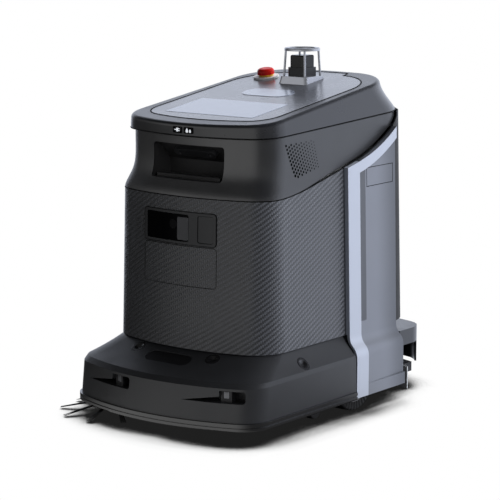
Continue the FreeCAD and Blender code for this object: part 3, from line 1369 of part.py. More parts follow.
caster_x = size("caster_x", 190, "caster swivel from the middle")
caster_y = size("caster_y", 140, "caster swivel ahead of the axle")
stem_bore = size("stem_bore", 8, "radius of the caster stems")
caster_boss = size("caster_boss", 15, "radius of the chassis bosses for the casters")
boss_top = size("boss_top", 92, "top of the chassis bosses")
deck_y = size("deck_y", 135, "brush deck's middle ahead of the axle")
deck_half = size("deck_half", 142, "half width of the brush deck")
deck_deep = size("deck_deep", 52, "half depth of the brush deck")
deck_room = size("deck_room", 5, "room round the brush deck")
pin_reach = size("pin_reach", 70, "distance of the deck's guide pins from its middle")
deck_pin = size("deck_pin", 6, "radius of the deck's guide pins")
brush_x = size("brush_x", 200, "side brush from the middle, on the robot's right")
brush_y = size("brush_y", 335, "side brush ahead of the axle")
shaft_radius = size("shaft_radius", 5, "radius of the side brush shaft")
hose_radius = size("hose_radius", 14, "outer radius of the suction hose")
hose_z = size("hose_z", 142, "height of the hose where it enters the chassis")
bush_long = size("bush_long", 20, "length of the guide bushes")

chassis = body("chassis")
pad(chassis, Drawing(chassis, "XY_Plane", tub_low).outline(tub_plan).done(), flange_low - tub_low)
inside = Drawing(chassis, "XY_Plane", tub_base).outline(inset(tub_plan, tub_wall)).done()
pocket(chassis, inside, flange_low - tub_base, back=True)
front_plate = Drawing(chassis, "XY_Plane", tub_base)
front_plate.rounded(-plate_half, -plate_front, plate_half, -plate_rear, plate_round)
pad(chassis, front_plate.done(), tub_floor)
for side in (-1, 1):
    outer_edge = tub_half - tub_wall / 2
    well = Drawing(chassis, "XY_Plane", tub_low)
    ends = sorted(((well_inner - tub_wall) * side, outer_edge * side), key=number)
    well.box(ends[0], -well_long - tub_wall, ends[1], well_long + tub_wall)
    pad(chassis, well.done(), well_top + tub_wall - tub_low)
for side in (-1, 1):
    ends = sorted((well_inner * side, tub_half * 1.2 * side), key=number)
    hollow = Drawing(chassis, "XY_Plane", tub_low)
    hollow.box(ends[0], -well_long, ends[1], well_long)
    pocket(chassis, hollow.done(), well_top - tub_low, back=True)
jack = Drawing(chassis, "XY_Plane", tub_low - jack_thick)
jack.box(-jack_half, jack_y - jack_deep / 2, jack_half, jack_y + jack_deep / 2)
pad(chassis, jack.done(), jack_thick + tub_floor / 2)
bosses = Drawing(chassis, "XY_Plane", tub_low)
bosses.disc(caster_x, -caster_y, caster_boss)
bosses.disc(-caster_x, -caster_y, caster_boss)
bosses.disc(0, -deck_y - pin_reach, deck_pin * 2)
bosses.disc(0, -deck_y + pin_reach, deck_pin * 2)
pad(chassis, bosses.done(), boss_top - tub_low)
opening = Drawing(chassis, "XY_Plane")
opening.box(
    -deck_half - deck_room, -deck_y - deck_deep - deck_room,
    deck_half + deck_room, -deck_y + deck_deep + deck_room)
pocket(chassis, opening.done())
bores = Drawing(chassis, "XY_Plane")
bores.disc(caster_x, -caster_y, stem_bore + running_gap)
bores.disc(-caster_x, -caster_y, stem_bore + running_gap)
bores.disc(0, -deck_y - pin_reach, deck_pin + running_gap)
bores.disc(0, -deck_y + pin_reach, deck_pin + running_gap)
bores.disc(-brush_x, -brush_y, shaft_radius + seat_gap)
pocket(chassis, bores.done())
axle_holes = Drawing(chassis, "YZ_Plane").disc(0, wheel_radius, axle_radius + seat_gap).done()
pocket(chassis, axle_holes)
bushes = Drawing(chassis, "XZ_Plane", guide_end - bumper_travel - seat_gap)
bushes.disc(guide_x, guide_z, guide_radius * 1.8)
bushes.disc(-guide_x, guide_z, guide_radius * 1.8)
pad(chassis, bushes.done(), bush_long)
bush_bores = Drawing(chassis, "XZ_Plane", guide_end - bumper_travel * 2)
bush_bores.disc(guide_x, guide_z, guide_radius + running_gap)
bush_bores.disc(-guide_x, guide_z, guide_radius + running_gap)
pocket(chassis, bush_bores.done(), reach, back=True)
hose_hole = Drawing(chassis, "XZ_Plane").disc(0, hose_z, hose_radius + seat_gap).done()
pocket(chassis, hose_hole, reach)
keep(chassis, "chassis")

# Casters: a fork that swivels in the chassis and trails its wheel.
caster_trail = size("caster_trail", 20, "trail of the caster wheels")
caster_radius = size("caster_radius", 22, "radius of the caster wheels")
caster_wide = size("caster_wide", 18, "width of the caster wheels")
fork_thick = size("fork_thick", 4, "thickness of the caster forks")
caster_axle = size("caster_axle", 4, "radius of the caster axles")
fork_half = caster_wide / 2 + seat_gap
crown_top = tub_low - seat_gap


def place_caster(item, side):
    bind(item, "Placement.Base.x", caster_x * side)
    bind(item, "Placement.Base.y", -caster_y)
    return item


for side, name in ((1, "left"), (-1, "right")):
    fork = body(f"caster_fork_{name}")
    leg = Drawing(fork, "YZ_Plane").polygon([
        (-stem_bore * 2, crown_top - fork_thick),
        (caster_axle, crown_top - fork_thick * 2),
        (caster_trail - caster_axle * 2, caster_radius - caster_axle),
        (caster_trail, caster_radius - caster_axle * 2),
        (caster_trail + caster_axle * 2, caster_radius - caster_axle),
        (caster_trail + caster_axle * 2, crown_top),
        (-stem_bore * 2, crown_top),
    ]).done()
    pad(fork, leg, (fork_half + fork_thick) * 2, both=True)
    gap = Drawing(fork, "YZ_Plane").box(-reach, -reach, reach, crown_top - fork_thick).done()
    pocket(fork, gap, fork_half * 2, both=True)
    pad(fork, Drawing(fork, "XY_Plane", crown_top - fork_thick / 2).disc(0, 0, stem_bore).done(),
        boss_top - crown_top)
    axle = Drawing(fork, "YZ_Plane").disc(caster_trail, caster_radius, caster_axle).done()
    pad(fork, axle, (fork_half + fork_thick) * 2, both=True)
    keep(place_caster(fork, side), f"caster_fork_{name}")

    wheel = body(f"caster_wheel_{name}")
    tread = Drawing(wheel, "YZ_Plane").disc(caster_trail, caster_radius, caster_radius).done()
    pad(wheel, tread, caster_wide, both=True)
    round_edges(wheel, caster_wide / 6, lambda edge: edge.Length > 1)
    bore = Drawing(wheel, "YZ_Plane").disc(caster_trail, caster_radius, caster_axle + running_gap).done()
    pocket(wheel, bore)
    keep(place_caster(wheel, side), f"caster_wheel_{name}")

# Brush deck: a hood over the roller brush that floats up on two guide pins.
deck_low = size("deck_low", 20, "lower edge of the brush deck")
deck_top = size("deck_top", 92, "top of the brush deck")
deck_wall = size("deck_wall", 4, "wall of the brush deck")
deck_travel = size("deck_travel", 15, "travel of the brush deck")
ear_low = size("ear_low", 28, "underside of the deck's ears")
ear_thick = size("ear_thick", 6, "thickness of the deck's ears")
ear_half = size("ear_half", 16, "half width of the deck's ears")
roller_radius = size("roller_radius", 37.5, "radius of the roller brush over its fins")
roller_z = size("roller_z", 39.5, "height of the roller brush's axis")
roller_core = size("roller_core", 24, "radius of the roller brush's core")
fin_thick = size("fin_thick", 3, "thickness of the roller's fins")
fin_count = 12
roller_room = size("roller_room", 4, "room at each end of the roller brush")
journal_radius = size("journal_radius", 6, "radius of the roller's journals")

brush_deck = body("brush_deck")


def deck_box(height, shrink):
    drawing = Drawing(brush_deck, "XY_Plane", height)
    drawing.box(
        -deck_half + shrink, -deck_y - deck_deep + shrink, deck_half - shrink, -deck_y + deck_deep - shrink)
    return drawing.done()


pad(brush_deck, deck_box(deck_low, plain(0)), deck_top - deck_low)
ears = Drawing(brush_deck, "XY_Plane", ear_low)
ear_reach = pin_reach + deck_pin * 1.5
ears.box(-ear_half, -deck_y - ear_reach, ear_half, -deck_y + ear_reach)
pad(brush_deck, ears.done(), ear_thick)
pocket(brush_deck, deck_box(deck_low, deck_wall), deck_top - deck_wall - deck_low, back=True)
pins = Drawing(brush_deck, "XY_Plane", ear_low + ear_thick / 2)
pins.disc(0, -deck_y - pin_reach, deck_pin)
pins.disc(0, -deck_y + pin_reach, deck_pin)
pad(brush_deck, pins.done(), boss_top - deck_travel - ear_low)
bore = Drawing(brush_deck, "YZ_Plane").disc(-deck_y, roller_z, journal_radius + running_gap).done()
pocket(brush_deck, bore)
keep(brush_deck, "brush_deck")

roller_brush = body("roller_brush")
roller_half = deck_half - deck_wall - roller_room
core = Drawing(roller_brush, "YZ_Plane").disc(0, 0, roller_core).done()
pad(roller_brush, core, roller_half * 2, both=True)
journal = Drawing(roller_brush, "YZ_Plane").disc(0, 0, journal_radius).done()
pad(roller_brush, journal, (deck_half - seat_gap) * 2, both=True)
fin = Drawing(roller_brush, "YZ_Plane")
fin.box(-fin_thick / 2, roller_core - fin_thick, fin_thick / 2, roller_radius)
fin_pad = pad(roller_brush, fin.done(), roller_half * 2, both=True)
roller_brush.recompute(True)
fins = roller_brush.newObject("PartDesign::PolarPattern", "fins")
fins.Originals = [fin_pad]
axis = next(p for p in roller_brush.Origin.OriginFeatures if p.Role == "X_Axis")
fins.Axis = (axis, [""])
fins.Angle = 360
fins.Occurrences = fin_count
roller_brush.Tip = fins
bind(roller_brush, "Placement.Base.y", -deck_y)
bind(roller_brush, "Placement.Base.z", roller_z)
keep(roller_brush, "roller_brush")

# Side brush under the front right corner: gear motor, hub and ten bristle tufts.
brush_motor = size("brush_motor", 21, "radius of the side brush motor")
brush_motor_tall = size("brush_motor_tall", 46, "height of the side brush motor")
brush_hub = size("brush_hub", 28, "radius of the side brush hub")
brush_hub_low = size("brush_hub_low", 18, "underside of the side brush hub")
brush_hub_tall = size("brush_hub_tall", 18, "height of the side brush hub")
tuft_reach = size("tuft_reach", 128, "reach of the bristle tips from the shaft")
tuft_tip = size("tuft_tip", 3.5, "height of the bristle tips")
tuft_root = size("tuft_root", 3.2, "radius of each tuft at its root")
tuft_end = size("tuft_end", 2, "radius of each tuft at its tip")
tuft_count = 10
tuft_start = 31
plate_top_z = tub_base + tub_floor


def brush_disc(item, height, radius):
    return Drawing(item, "XY_Plane", height).disc(-brush_x, -brush_y, radius).done()


side_brush_motor = body("side_brush_motor")
pad(side_brush_motor, brush_disc(side_brush_motor, plate_top_z, brush_motor), brush_motor_tall)
shaft_low = brush_hub_low + deck_wall
shaft = brush_disc(side_brush_motor, shaft_low, shaft_radius)
pad(side_brush_motor, shaft, plate_top_z - shaft_low + deck_wall)
keep(side_brush_motor, "side_brush_motor")

side_brush_hub = body("side_brush_hub")
pad(side_brush_hub, brush_disc(side_brush_hub, brush_hub_low, brush_hub), brush_hub_tall)
round_edges(side_brush_hub, deck_wall, at_height(brush_hub_low + brush_hub_tall))
pocket(side_brush_hub, brush_disc(side_brush_hub, brush_hub_low, shaft_radius + running_gap))
keep(side_brush_hub, "side_brush_hub")

tufts = []
root_z = brush_hub_low + tuft_root * 2
root_r = brush_hub + tuft_root / 3
tuft_run = tuft_reach - root_r
tuft_drop = root_z - tuft_tip
for step in range(tuft_count):
    tuft = doc.addObject("Part::Cone", f"tuft_{step}")
    bind(tuft, "Radius1", tuft_root)
    bind(tuft, "Radius2", tuft_end)
    slope = tuft_drop / tuft_run
    bind(tuft, "Height", Size(f"sqrt({tuft_run.text} ^ 2 + {tuft_drop.text} ^ 2)",
                              math.hypot(tuft_run.value, tuft_drop.value)))
    turn = tuft_start + step * 360 / tuft_count
    outward = FreeCAD.Rotation(FreeCAD.Vector(0, 0, 1), turn)
    down = FreeCAD.Rotation(FreeCAD.Vector(0, 1, 0), 90 + number(angle_of(slope)))
    tuft.Placement = FreeCAD.Placement(FreeCAD.Vector(0, 0, 0), outward.multiply(down))
    bind(tuft, "Placement.Base.x", -brush_x + root_r * math.cos(math.radians(turn)))
    bind(tuft, "Placement.Base.y", -brush_y + root_r * math.sin(math.radians(turn)))
    bind(tuft, "Placement.Base.z", root_z)
    tufts.append(tuft)
group("side_brush_bristles", *tufts)

# Rear bracket: a bowed guard behind the tub that carries the squeegee.
bracket_half = size("bracket_half", 212, "half width of the rear bracket")
bracket_rear = size("bracket_rear", 326, "reach of the rear bracket behind the axle")
bracket_front = size("bracket_front", 191, "front end of the rear bracket, behind the axle")
bracket_low = size("bracket_low", 62, "lower edge of the rear bracket")
bracket_top = size("bracket_top", 148, "top of the rear bracket")
bracket_wall = size("bracket_wall", 5, "wall of the rear bracket")
bracket_corner = size("bracket_corner", 60, "corner radius of the rear bracket")
bracket_bow = size("bracket_bow", 600, "radius of the bracket's bowed rear")
arch_rear = size("arch_rear", 272, "rear end of the bracket's side arches, behind the axle")
arch_top = size("arch_top", 112, "crown of the bracket's side arches")
boss_low = size("boss_low", 78, "lower end of the bracket's rod bosses")
rod_x = size("rod_x", 110, "squeegee guide rod from the middle")
rod_y = size("rod_y", 293, "squeegee guide rods and spigot behind the axle")
rod_radius = size("rod_radius", 6, "radius of the squeegee guide rods")
squeegee_travel = size("squeegee_travel", 20, "travel of the squeegee")
bracket_plan = body_plan._replace(
    half=bracket_half, rear=bracket_rear, rear_corner=bracket_corner, rear_bow=bracket_bow)

bracket_blank = body("bracket_blank")
shape = Drawing(bracket_blank, "XY_Plane", bracket_low).outline(bracket_plan).done()
pad(bracket_blank, shape, bracket_top - bracket_low)
core = Drawing(bracket_blank, "XY_Plane", bracket_low).outline(inset(bracket_plan, bracket_wall)).done()
pocket(bracket_blank, core, bracket_top - bracket_wall - bracket_low, back=True)
pocket(bracket_blank, Drawing(bracket_blank, "YZ_Plane").box(-reach, -reach, bracket_front, reach).done())
arch = Drawing(bracket_blank, "YZ_Plane")
arch.box(plain(0), plain(0), arch_rear, arch_top)
pocket(bracket_blank, arch.done())
rods = Drawing(bracket_blank, "XY_Plane", boss_low)
rods.disc(rod_x, rod_y, rod_radius * 2)
rods.disc(-rod_x, rod_y, rod_radius * 2)
pad(bracket_blank, rods.done(), bracket_top - boss_low)
rod_bores = Drawing(bracket_blank, "XY_Plane", boss_low)
rod_bores.disc(rod_x, rod_y, rod_radius + running_gap)
rod_bores.disc(-rod_x, rod_y, rod_radius + running_gap)
pocket(bracket_blank, rod_bores.done(), bracket_top - bracket_wall - boss_low, back=True)
notch = Drawing(bracket_blank, "XY_Plane")
notch.box(-hose_radius * 1.3, -reach, hose_radius * 1.3, rod_y + hose_radius * 1.3)
pocket(bracket_blank, notch.done())
tub_block = body("tub_block")
outline = Drawing(tub_block, "XY_Plane", tub_low).outline(inset(tub_plan, -seat_gap)).done()
pad(tub_block, outline, flange_low - tub_low)
keep(cut("rear_bracket", bracket_blank, tub_block), "rear_bracket")

# Squeegee: two bowed blades in a holder that lifts on its guide rods.
blade_bow = size("blade_bow", 545, "radius of the bowed squeegee blades")
blade_thick = size("blade_thick", 3, "thickness of the squeegee blades")
blade_low = size("blade_low", 1, "height of the blades' lower edges")
blade_top = size("blade_top", 54, "height of the blades' upper edges")
front_blade_y = size("front_blade_y", 277, "middle of the front blade behind the axle")
rear_blade_y = size("rear_blade_y", 308, "middle of the rear blade behind the axle")
front_blade_half = size("front_blade_half", 204, "half width of the front blade")
rear_blade_half = size("rear_blade_half", 174, "half width of the rear blade")
holder_low = size("holder_low", 34, "underside of the squeegee holder")
holder_top = size("holder_top", 56, "top of the squeegee holder")
holder_half = size("holder_half", 186, "half width of the squeegee holder")
holder_rim = size("holder_rim", 6, "reach of the holder past its blades")
spigot_radius = size("spigot_radius", 10.4, "outer radius of the squeegee's spigot")
spigot_bore = size("spigot_bore", 8, "bore of the squeegee's spigot")
spigot_top = size("spigot_top", 95, "top of the squeegee's spigot")


def bowed_bar(label, front, rear, half, low, high):
    """A bar bowed to the rear between two arcs about one centre."""
    item = body(label)
    middle = rear - blade_bow
    ring = Drawing(item, "XY_Plane", low)
    ring.disc(0, middle, blade_bow)
    ring.disc(0, middle, blade_bow - rear + front)
    pad(item, ring.done(), high - low)
    for left, right in ((-reach, -half), (half, reach)):
        pocket(item, Drawing(item, "XZ_Plane").box(left, -reach, right, reach).done())
    pocket(item, Drawing(item, "YZ_Plane").box(-reach * 2, -reach, middle, reach).done())
    return item


def blade(label, y, half, grow):
    thick = blade_thick / 2 + grow
    return bowed_bar(label, y - thick, y + thick, half, blade_low, blade_top + grow)


group(
    "squeegee_blades",
    blade("front_blade", front_blade_y, front_blade_half, plain(0)),
    blade("rear_blade", rear_blade_y, rear_blade_half, plain(0)))

holder_bar = bowed_bar(
    "holder_bar", front_blade_y - holder_rim, rear_blade_y + holder_rim, holder_half, holder_low, holder_top)
posts = Drawing(holder_bar, "XY_Plane", holder_low)
posts.disc(rod_x, rod_y, rod_radius)
posts.disc(-rod_x, rod_y, rod_radius)
pad(holder_bar, posts.done(), bracket_top - bracket_wall - squeegee_travel - seat_gap * 3 - holder_low)
spigot = Drawing(holder_bar, "XY_Plane", holder_low).disc(0, rod_y, spigot_radius).done()
pad(holder_bar, spigot, spigot_top - holder_low)
pocket(holder_bar, Drawing(holder_bar, "XY_Plane").disc(0, rod_y, spigot_bore).done())
holder_cuts = [
    blade("front_groove", front_blade_y, front_blade_half, seat_gap / 3),
    blade("rear_groove", rear_blade_y, rear_blade_half, seat_gap / 3),
]
keep(cut("squeegee_holder", holder_bar, *holder_cuts), "squeegee_holder")

# Suction hose: a bent pipe from over the squeegee's spigot into the waste tank.
hose_wall = size("hose_wall", 3, "wall of the suction hose")
hose_low = size("hose_low", 84, "lower end of the suction hose")
hose_bend = size("hose_bend", 22, "bend radius of the suction hose")
waste_rear = size("waste_rear", 202, "rear face of the waste water tank, behind the axle")
suction_hose = body("suction_hose")
ring = Drawing(suction_hose, "XY_Plane", hose_low)
ring.disc(0, rod_y, hose_radius)
ring.disc(0, rod_y, hose_radius - hose_wall)
path = Drawing(suction_hose, "YZ_Plane")
bend_y = rod_y - hose_bend
bend_z = hose_z - hose_bend
upright = path.line((rod_y, hose_low), (rod_y, bend_z))
elbow = path.arc((bend_y, bend_z), hose_bend, 0, 90)
level = path.line((bend_y, hose_z), (waste_rear + seat_gap, hose_z))
path.rule("Tangent", upright, 2, elbow, 1)
path.rule("Tangent", elbow, 2, level, 1)
path.locate(upright, 1, rod_y, hose_low)
path.rule("Vertical", upright)
path.rule("Horizontal", level)
path.measure("Radius", elbow, to=hose_bend)
path.locate(level, 2, waste_rear + seat_gap, hose_z)
pipe = suction_hose.newObject("PartDesign::AdditivePipe", "pipe")
pipe.Profile = ring.done()
pipe.Spine = path.done()
keep(suction_hose, "suction_hose")

# Water tanks: hollow mouldings side by side over the axle, with filler caps that stand through the tray.
tank_half = size("tank_half", 150, "half width of the tanks")
tank_top = size("tank_top", 590, "top of the tanks")
tank_wall = size("tank_wall", 4, "wall of the tanks")
tank_round = size("tank_round", 18, "corner radius of the tanks")
clean_front = size("clean_front", 46, "front face of the clean water tank, ahead of the axle")
clean_rear = size("clean_rear", 74, "rear face of the clean water tank, behind the axle")
waste_front = size("waste_front", 82, "front face of the waste water tank, behind the axle")
tank_step = size("tank_step", 104, "half width of the clean tank between the drive motors")
step_top = size("step_top", 100, "height where the clean tank widens over the motors")
neck_x = size("neck_x", 80, "filler necks from the middle")
neck_radius = size("neck_radius", 32, "radius of the filler necks")
cap_radius = size("cap_radius", 38, "radius of the filler caps")
cap_tall = size("cap_tall", 14, "height of the filler caps")
tray_low = size("tray_low", 624, "underside of the inner tray")
tray_thick = size("tray_thick", 3, "thickness of the inner tray")
tray_top = tray_low + tray_thick


def tank(label, front, rear, neck, low):
    """A hollow tank with its filler neck and cap."""
    item = body(label)
    walls = Drawing(item, "XY_Plane", low).rounded(-tank_half, front, tank_half, rear, tank_round).done()
    pad(item, walls, tank_top - low)
    throat = Drawing(item, "XY_Plane", tank_top).disc(neck, (front + rear) / 2, neck_radius).done()
    pad(item, throat, tray_top + tray_thick - tank_top)
    cap = Drawing(item, "XY_Plane", tray_top + tray_thick).disc(neck, (front + rear) / 2, cap_radius).done()
    pad(item, cap, cap_tall)
    return item


def tank_core(label, front, rear, low):
    item = body(label)
    room = Drawing(item, "XY_Plane", low + tank_wall)
    room.rounded(
        -tank_half + tank_wall, front + tank_wall, tank_half - tank_wall, rear - tank_wall,
        tank_round - tank_wall)
    pad(item, room.done(), tank_top - low - tank_wall * 2)
    return item


def tank_foot(item, half, low, high, shrink):
    foot = Drawing(item, "XY_Plane", low)
    foot.rounded(-half, -clean_front + shrink, half, clean_rear - shrink, tank_round - shrink)
    pad(item, foot.done(), high - low)


clean_blank = tank("clean_blank", -clean_front, clean_rear, -neck_x, step_top)
tank_foot(clean_blank, tank_step, tub_base, step_top + tank_wall, plain(0))
clean_room = tank_core("clean_room", -clean_front, clean_rear, step_top)
tank_foot(clean_room, tank_step - tank_wall, tub_base + tank_wall, step_top + tank_wall * 2, tank_wall)
keep(cut("clean_water_tank", clean_blank, clean_room), "clean_water_tank")
waste_blank = tank("waste_blank", waste_front, waste_rear, neck_x, tub_base)
waste_room = tank_core("waste_room", waste_front, waste_rear, tub_base)
keep(cut("waste_water_tank", waste_blank, waste_room), "waste_water_tank")

# Inner tray under the lid, open round the filler caps.
inner_tray = body("inner_tray")
tray_plan = body_at(tray_low, wall + trim_gap)
tray_plan = tray_plan._replace(half=neck_half - wall - trim_gap, front=neck_front - wall - trim_gap * 2)
pad(inner_tray, Drawing(inner_tray, "XY_Plane", tray_low).outline(tray_plan).done(), tray_thick)
cap_holes = Drawing(inner_tray, "XY_Plane", tray_low)
cap_holes.disc(-neck_x, (clean_rear - clean_front) / 2, neck_radius + trim_gap)
cap_holes.disc(neck_x, (waste_front + waste_rear) / 2, neck_radius + trim_gap)
pocket(inner_tray, cap_holes.done())
keep(inner_tray, "inner_tray")

# Battery, suction motor and control board in the front of the tub.
battery_left = size("battery_left", 140, "battery's far side, on the robot's right")
battery_right = size("battery_right", 25, "battery's near side, on the robot's left")
battery_front = size("battery_front", 308, "front of the battery, ahead of the axle")
battery_rear = size("battery_rear", 222, "rear of the battery, ahead of the axle")
battery_tall = size("battery_tall", 96, "height of the battery")
battery_round = size("battery_round", 6, "rounding of the battery")
battery_base = plate_top_z
battery_pack = body("battery_pack")
case = Drawing(battery_pack, "XY_Plane", battery_base)
case.rounded(-battery_left, -battery_front, battery_right, -battery_rear, battery_round)
pad(battery_pack, case.done(), battery_tall)
round_edges(battery_pack, battery_round / 2, at_height(battery_base + battery_tall))
keep(battery_pack, "battery_pack")

blower_x = size("blower_x", 95, "suction motor from the middle")
blower_y = size("blower_y", 262, "suction motor ahead of the axle")
blower_radius = size("blower_radius", 52, "radius of the suction motor's volute")
blower_tall = size("blower_tall", 56, "height of the suction motor's volute")
blower_head = size("blower_head", 40, "radius of the suction motor's head")
blower_head_tall = size("blower_head_tall", 70, "height of the suction motor's head")
suction_motor = body("suction_motor")
volute = Drawing(suction_motor, "XY_Plane", plate_top_z).disc(blower_x, -blower_y, blower_radius).done()
pad(suction_motor, volute, blower_tall)
head = Drawing(suction_motor, "XY_Plane", plate_top_z + blower_tall)
head = head.disc(blower_x, -blower_y, blower_head).done()
pad(suction_motor, head, blower_head_tall)
round_edges(suction_motor, battery_round, at_height(plate_top_z + blower_tall + blower_head_tall))
keep(suction_motor, "suction_motor")

board_tall = size("board_tall", 170, "height of the control board")
board_thick = size("board_thick", 2, "thickness of the control board")
board_foot = size("board_foot", 24, "depth of the control board's foot")
board_edge = size("board_edge", 10, "how far the control board stays inside the battery's ends")
board_base = battery_base + battery_tall
control_board = body("control_board")
board_y = -(battery_front + battery_rear) / 2
foot = Drawing(control_board, "XY_Plane", board_base)
foot.box(
    -battery_left + board_edge, board_y - board_foot / 2,
    battery_right - board_edge, board_y + board_foot / 2)
pad(control_board, foot.done(), board_thick)
upright = Drawing(control_board, "XY_Plane", board_base)
upright.box(
    -battery_left + board_edge, board_y - board_thick / 2,
    battery_right - board_edge, board_y + board_thick / 2)
pad(control_board, upright.done(), board_tall)
keep(control_board, "control_board")

doc.recompute()
for item in doc.Objects:
    if "Invalid" in item.State or "Error" in item.State:
        raise RuntimeError(f"{item.Label} could not be computed")
for item in pieces:
    if item.Shape.isNull() or not item.Shape.isValid():
        raise RuntimeError(f"{item.Label} has no valid shape")
os.makedirs("parts", exist_ok=True)
for item in pieces:
    item.Shape.exportStep(f"parts/{item.Label}.step")
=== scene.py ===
import bpy
import bmesh
import math
from mathutils import Matrix, Vector


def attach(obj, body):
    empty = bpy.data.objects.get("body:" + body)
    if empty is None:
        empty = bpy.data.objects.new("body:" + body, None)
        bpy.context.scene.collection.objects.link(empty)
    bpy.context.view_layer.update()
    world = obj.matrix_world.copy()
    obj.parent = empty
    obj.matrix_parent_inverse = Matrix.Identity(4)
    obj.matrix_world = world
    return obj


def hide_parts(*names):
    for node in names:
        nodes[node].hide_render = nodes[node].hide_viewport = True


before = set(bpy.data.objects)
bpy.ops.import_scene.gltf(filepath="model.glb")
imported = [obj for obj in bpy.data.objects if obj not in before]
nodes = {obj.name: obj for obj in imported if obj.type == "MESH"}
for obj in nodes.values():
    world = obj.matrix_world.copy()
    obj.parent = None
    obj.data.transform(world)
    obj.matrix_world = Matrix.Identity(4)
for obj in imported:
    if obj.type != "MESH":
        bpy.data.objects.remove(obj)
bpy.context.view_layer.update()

# Chassis tub: the black moulded floor that carries everything, open below for the brush deck.
# It is glass-filled plastic with a fine spark-eroded grain, which the other mouldings share.
# The node group gives the height of that grain and the slow mottle left by handling.
grain = bpy.data.node_groups.new("moulded_grain", "ShaderNodeTree")
grain.interface.new_socket("Scale", in_out="INPUT", socket_type="NodeSocketFloat")
grain.interface.new_socket("Height", in_out="OUTPUT", socket_type="NodeSocketFloat")
grain.interface.new_socket("Mottle", in_out="OUTPUT", socket_type="NodeSocketFloat")
grain_in = grain.nodes.new("NodeGroupInput")
grain_out = grain.nodes.new("NodeGroupOutput")
grain_place = grain.nodes.new("ShaderNodeTexCoord")
grain_noise = grain.nodes.new("ShaderNodeTexNoise")
grain_noise.inputs["Detail"].default_value = 3
grain.links.new(grain_place.outputs["Object"], grain_noise.inputs["Vector"])
grain.links.new(grain_in.outputs["Scale"], grain_noise.inputs["Scale"])
grain.links.new(grain_noise.outputs["Fac"], grain_out.inputs["Height"])
mottle_noise = grain.nodes.new("ShaderNodeTexNoise")
mottle_noise.inputs["Scale"].default_value = 16
mottle_noise.inputs["Detail"].default_value = 5
mottle_spread = grain.nodes.new("ShaderNodeMapRange")
mottle_spread.inputs["From Min"].default_value = 0.3
mottle_spread.inputs["From Max"].default_value = 0.7
grain.links.new(grain_place.outputs["Object"], mottle_noise.inputs["Vector"])
grain.links.new(mottle_noise.outputs["Fac"], mottle_spread.inputs["Value"])
grain.links.new(mottle_spread.outputs["Result"], grain_out.inputs["Mottle"])


def finish(name, colour, rough, metal=0.0, specular=0.5, coat=0.0):
    """A material whose Principled shader holds the finish's constants."""
    material = bpy.data.materials.new(name)
    material.use_nodes = True
    shader = material.node_tree.nodes["Principled BSDF"]
    shader.inputs["Base Color"].default_value = (*colour, 1)
    shader.inputs["Roughness"].default_value = rough
    shader.inputs["Metallic"].default_value = metal
    shader.inputs["Specular IOR Level"].default_value = specular
    shader.inputs["Coat Weight"].default_value = coat
    shader.inputs["Coat Roughness"].default_value = rough
    return material


def put(holder, kind, **values):
    """A new node of a material or of the world, with the values of its own settings."""
    node = holder.node_tree.nodes.new(kind)
    for key, value in values.items():
        setattr(node, key, value)
    return node


def wire(holder, source, target):
    """A link between two sockets."""
    holder.node_tree.links.new(source, target)


def blended(holder, factor, first, second):
    """A colour that a factor mixes from two others, each a plain colour or a socket."""
    node = put(holder, "ShaderNodeMix", data_type="RGBA")
    wire(holder, factor, node.inputs["Factor"])
    for key, colour in (("A", first), ("B", second)):
        if isinstance(colour, tuple):
            node.inputs[key].default_value = (*colour, 1)
        else:
            wire(holder, colour, node.inputs[key])
    return node.outputs["Result"]


def bumped(material, height, depth, edge=0.0007):
    """Feed a height to the shader's normal, in metres, over edges that are broken by a small round."""
    soft_edge = put(material, "ShaderNodeBevel", samples=6)
    soft_edge.inputs["Radius"].default_value = edge
    bump = put(material, "ShaderNodeBump")
    bump.inputs["Distance"].default_value = depth
    wire(material, soft_edge.outputs["Normal"], bump.inputs["Normal"])
    wire(material, height, bump.inputs["Height"])
    wire(material, bump.outputs["Normal"], material.node_tree.nodes["Principled BSDF"].inputs["Normal"])


def mottled(material, mottle, spread=0.12):
    """Let the handling marks shift the roughness and, where the colour is plain, the colour."""
    shader = material.node_tree.nodes["Principled BSDF"]
    rough = shader.inputs["Roughness"].default_value
    rough_range = put(material, "ShaderNodeMapRange")
    rough_range.inputs["To Min"].default_value = rough * (1 - spread)
    rough_range.inputs["To Max"].default_value = rough * (1 + spread)
    wire(material, mottle, rough_range.inputs["Value"])
    wire(material, rough_range.outputs["Result"], shader.inputs["Roughness"])
    if shader.inputs["Base Color"].is_linked:
        return
    colour = shader.inputs["Base Color"].default_value[:3]
    darker = tuple(part * (1 - spread / 2) for part in colour)
    lighter = tuple(part * (1 + spread / 2) for part in colour)
    wire(material, blended(material, mottle, darker, lighter), shader.inputs["Base Color"])


def grained(material, scale, depth, edge=0.0007):
    """Give a moulding its grain and its handling marks."""
    group = put(material, "ShaderNodeGroup", node_tree=grain)
    group.inputs["Scale"].default_value = scale
    bumped(material, group.outputs["Height"], depth, edge)
    mottled(material, group.outputs["Mottle"])
    return material


def dress(material, *names):
    """Give CAD nodes their material."""
    for name in names:
        piece = nodes[name]
        piece.data.materials.clear()
        piece.data.materials.append(material)


tub_black = grained(finish("tub_black", (0.018, 0.018, 0.02), 0.6, specular=0.3), 900, 0.0002)
dress(tub_black, "chassis", "brush_deck", "side_brush_hub")

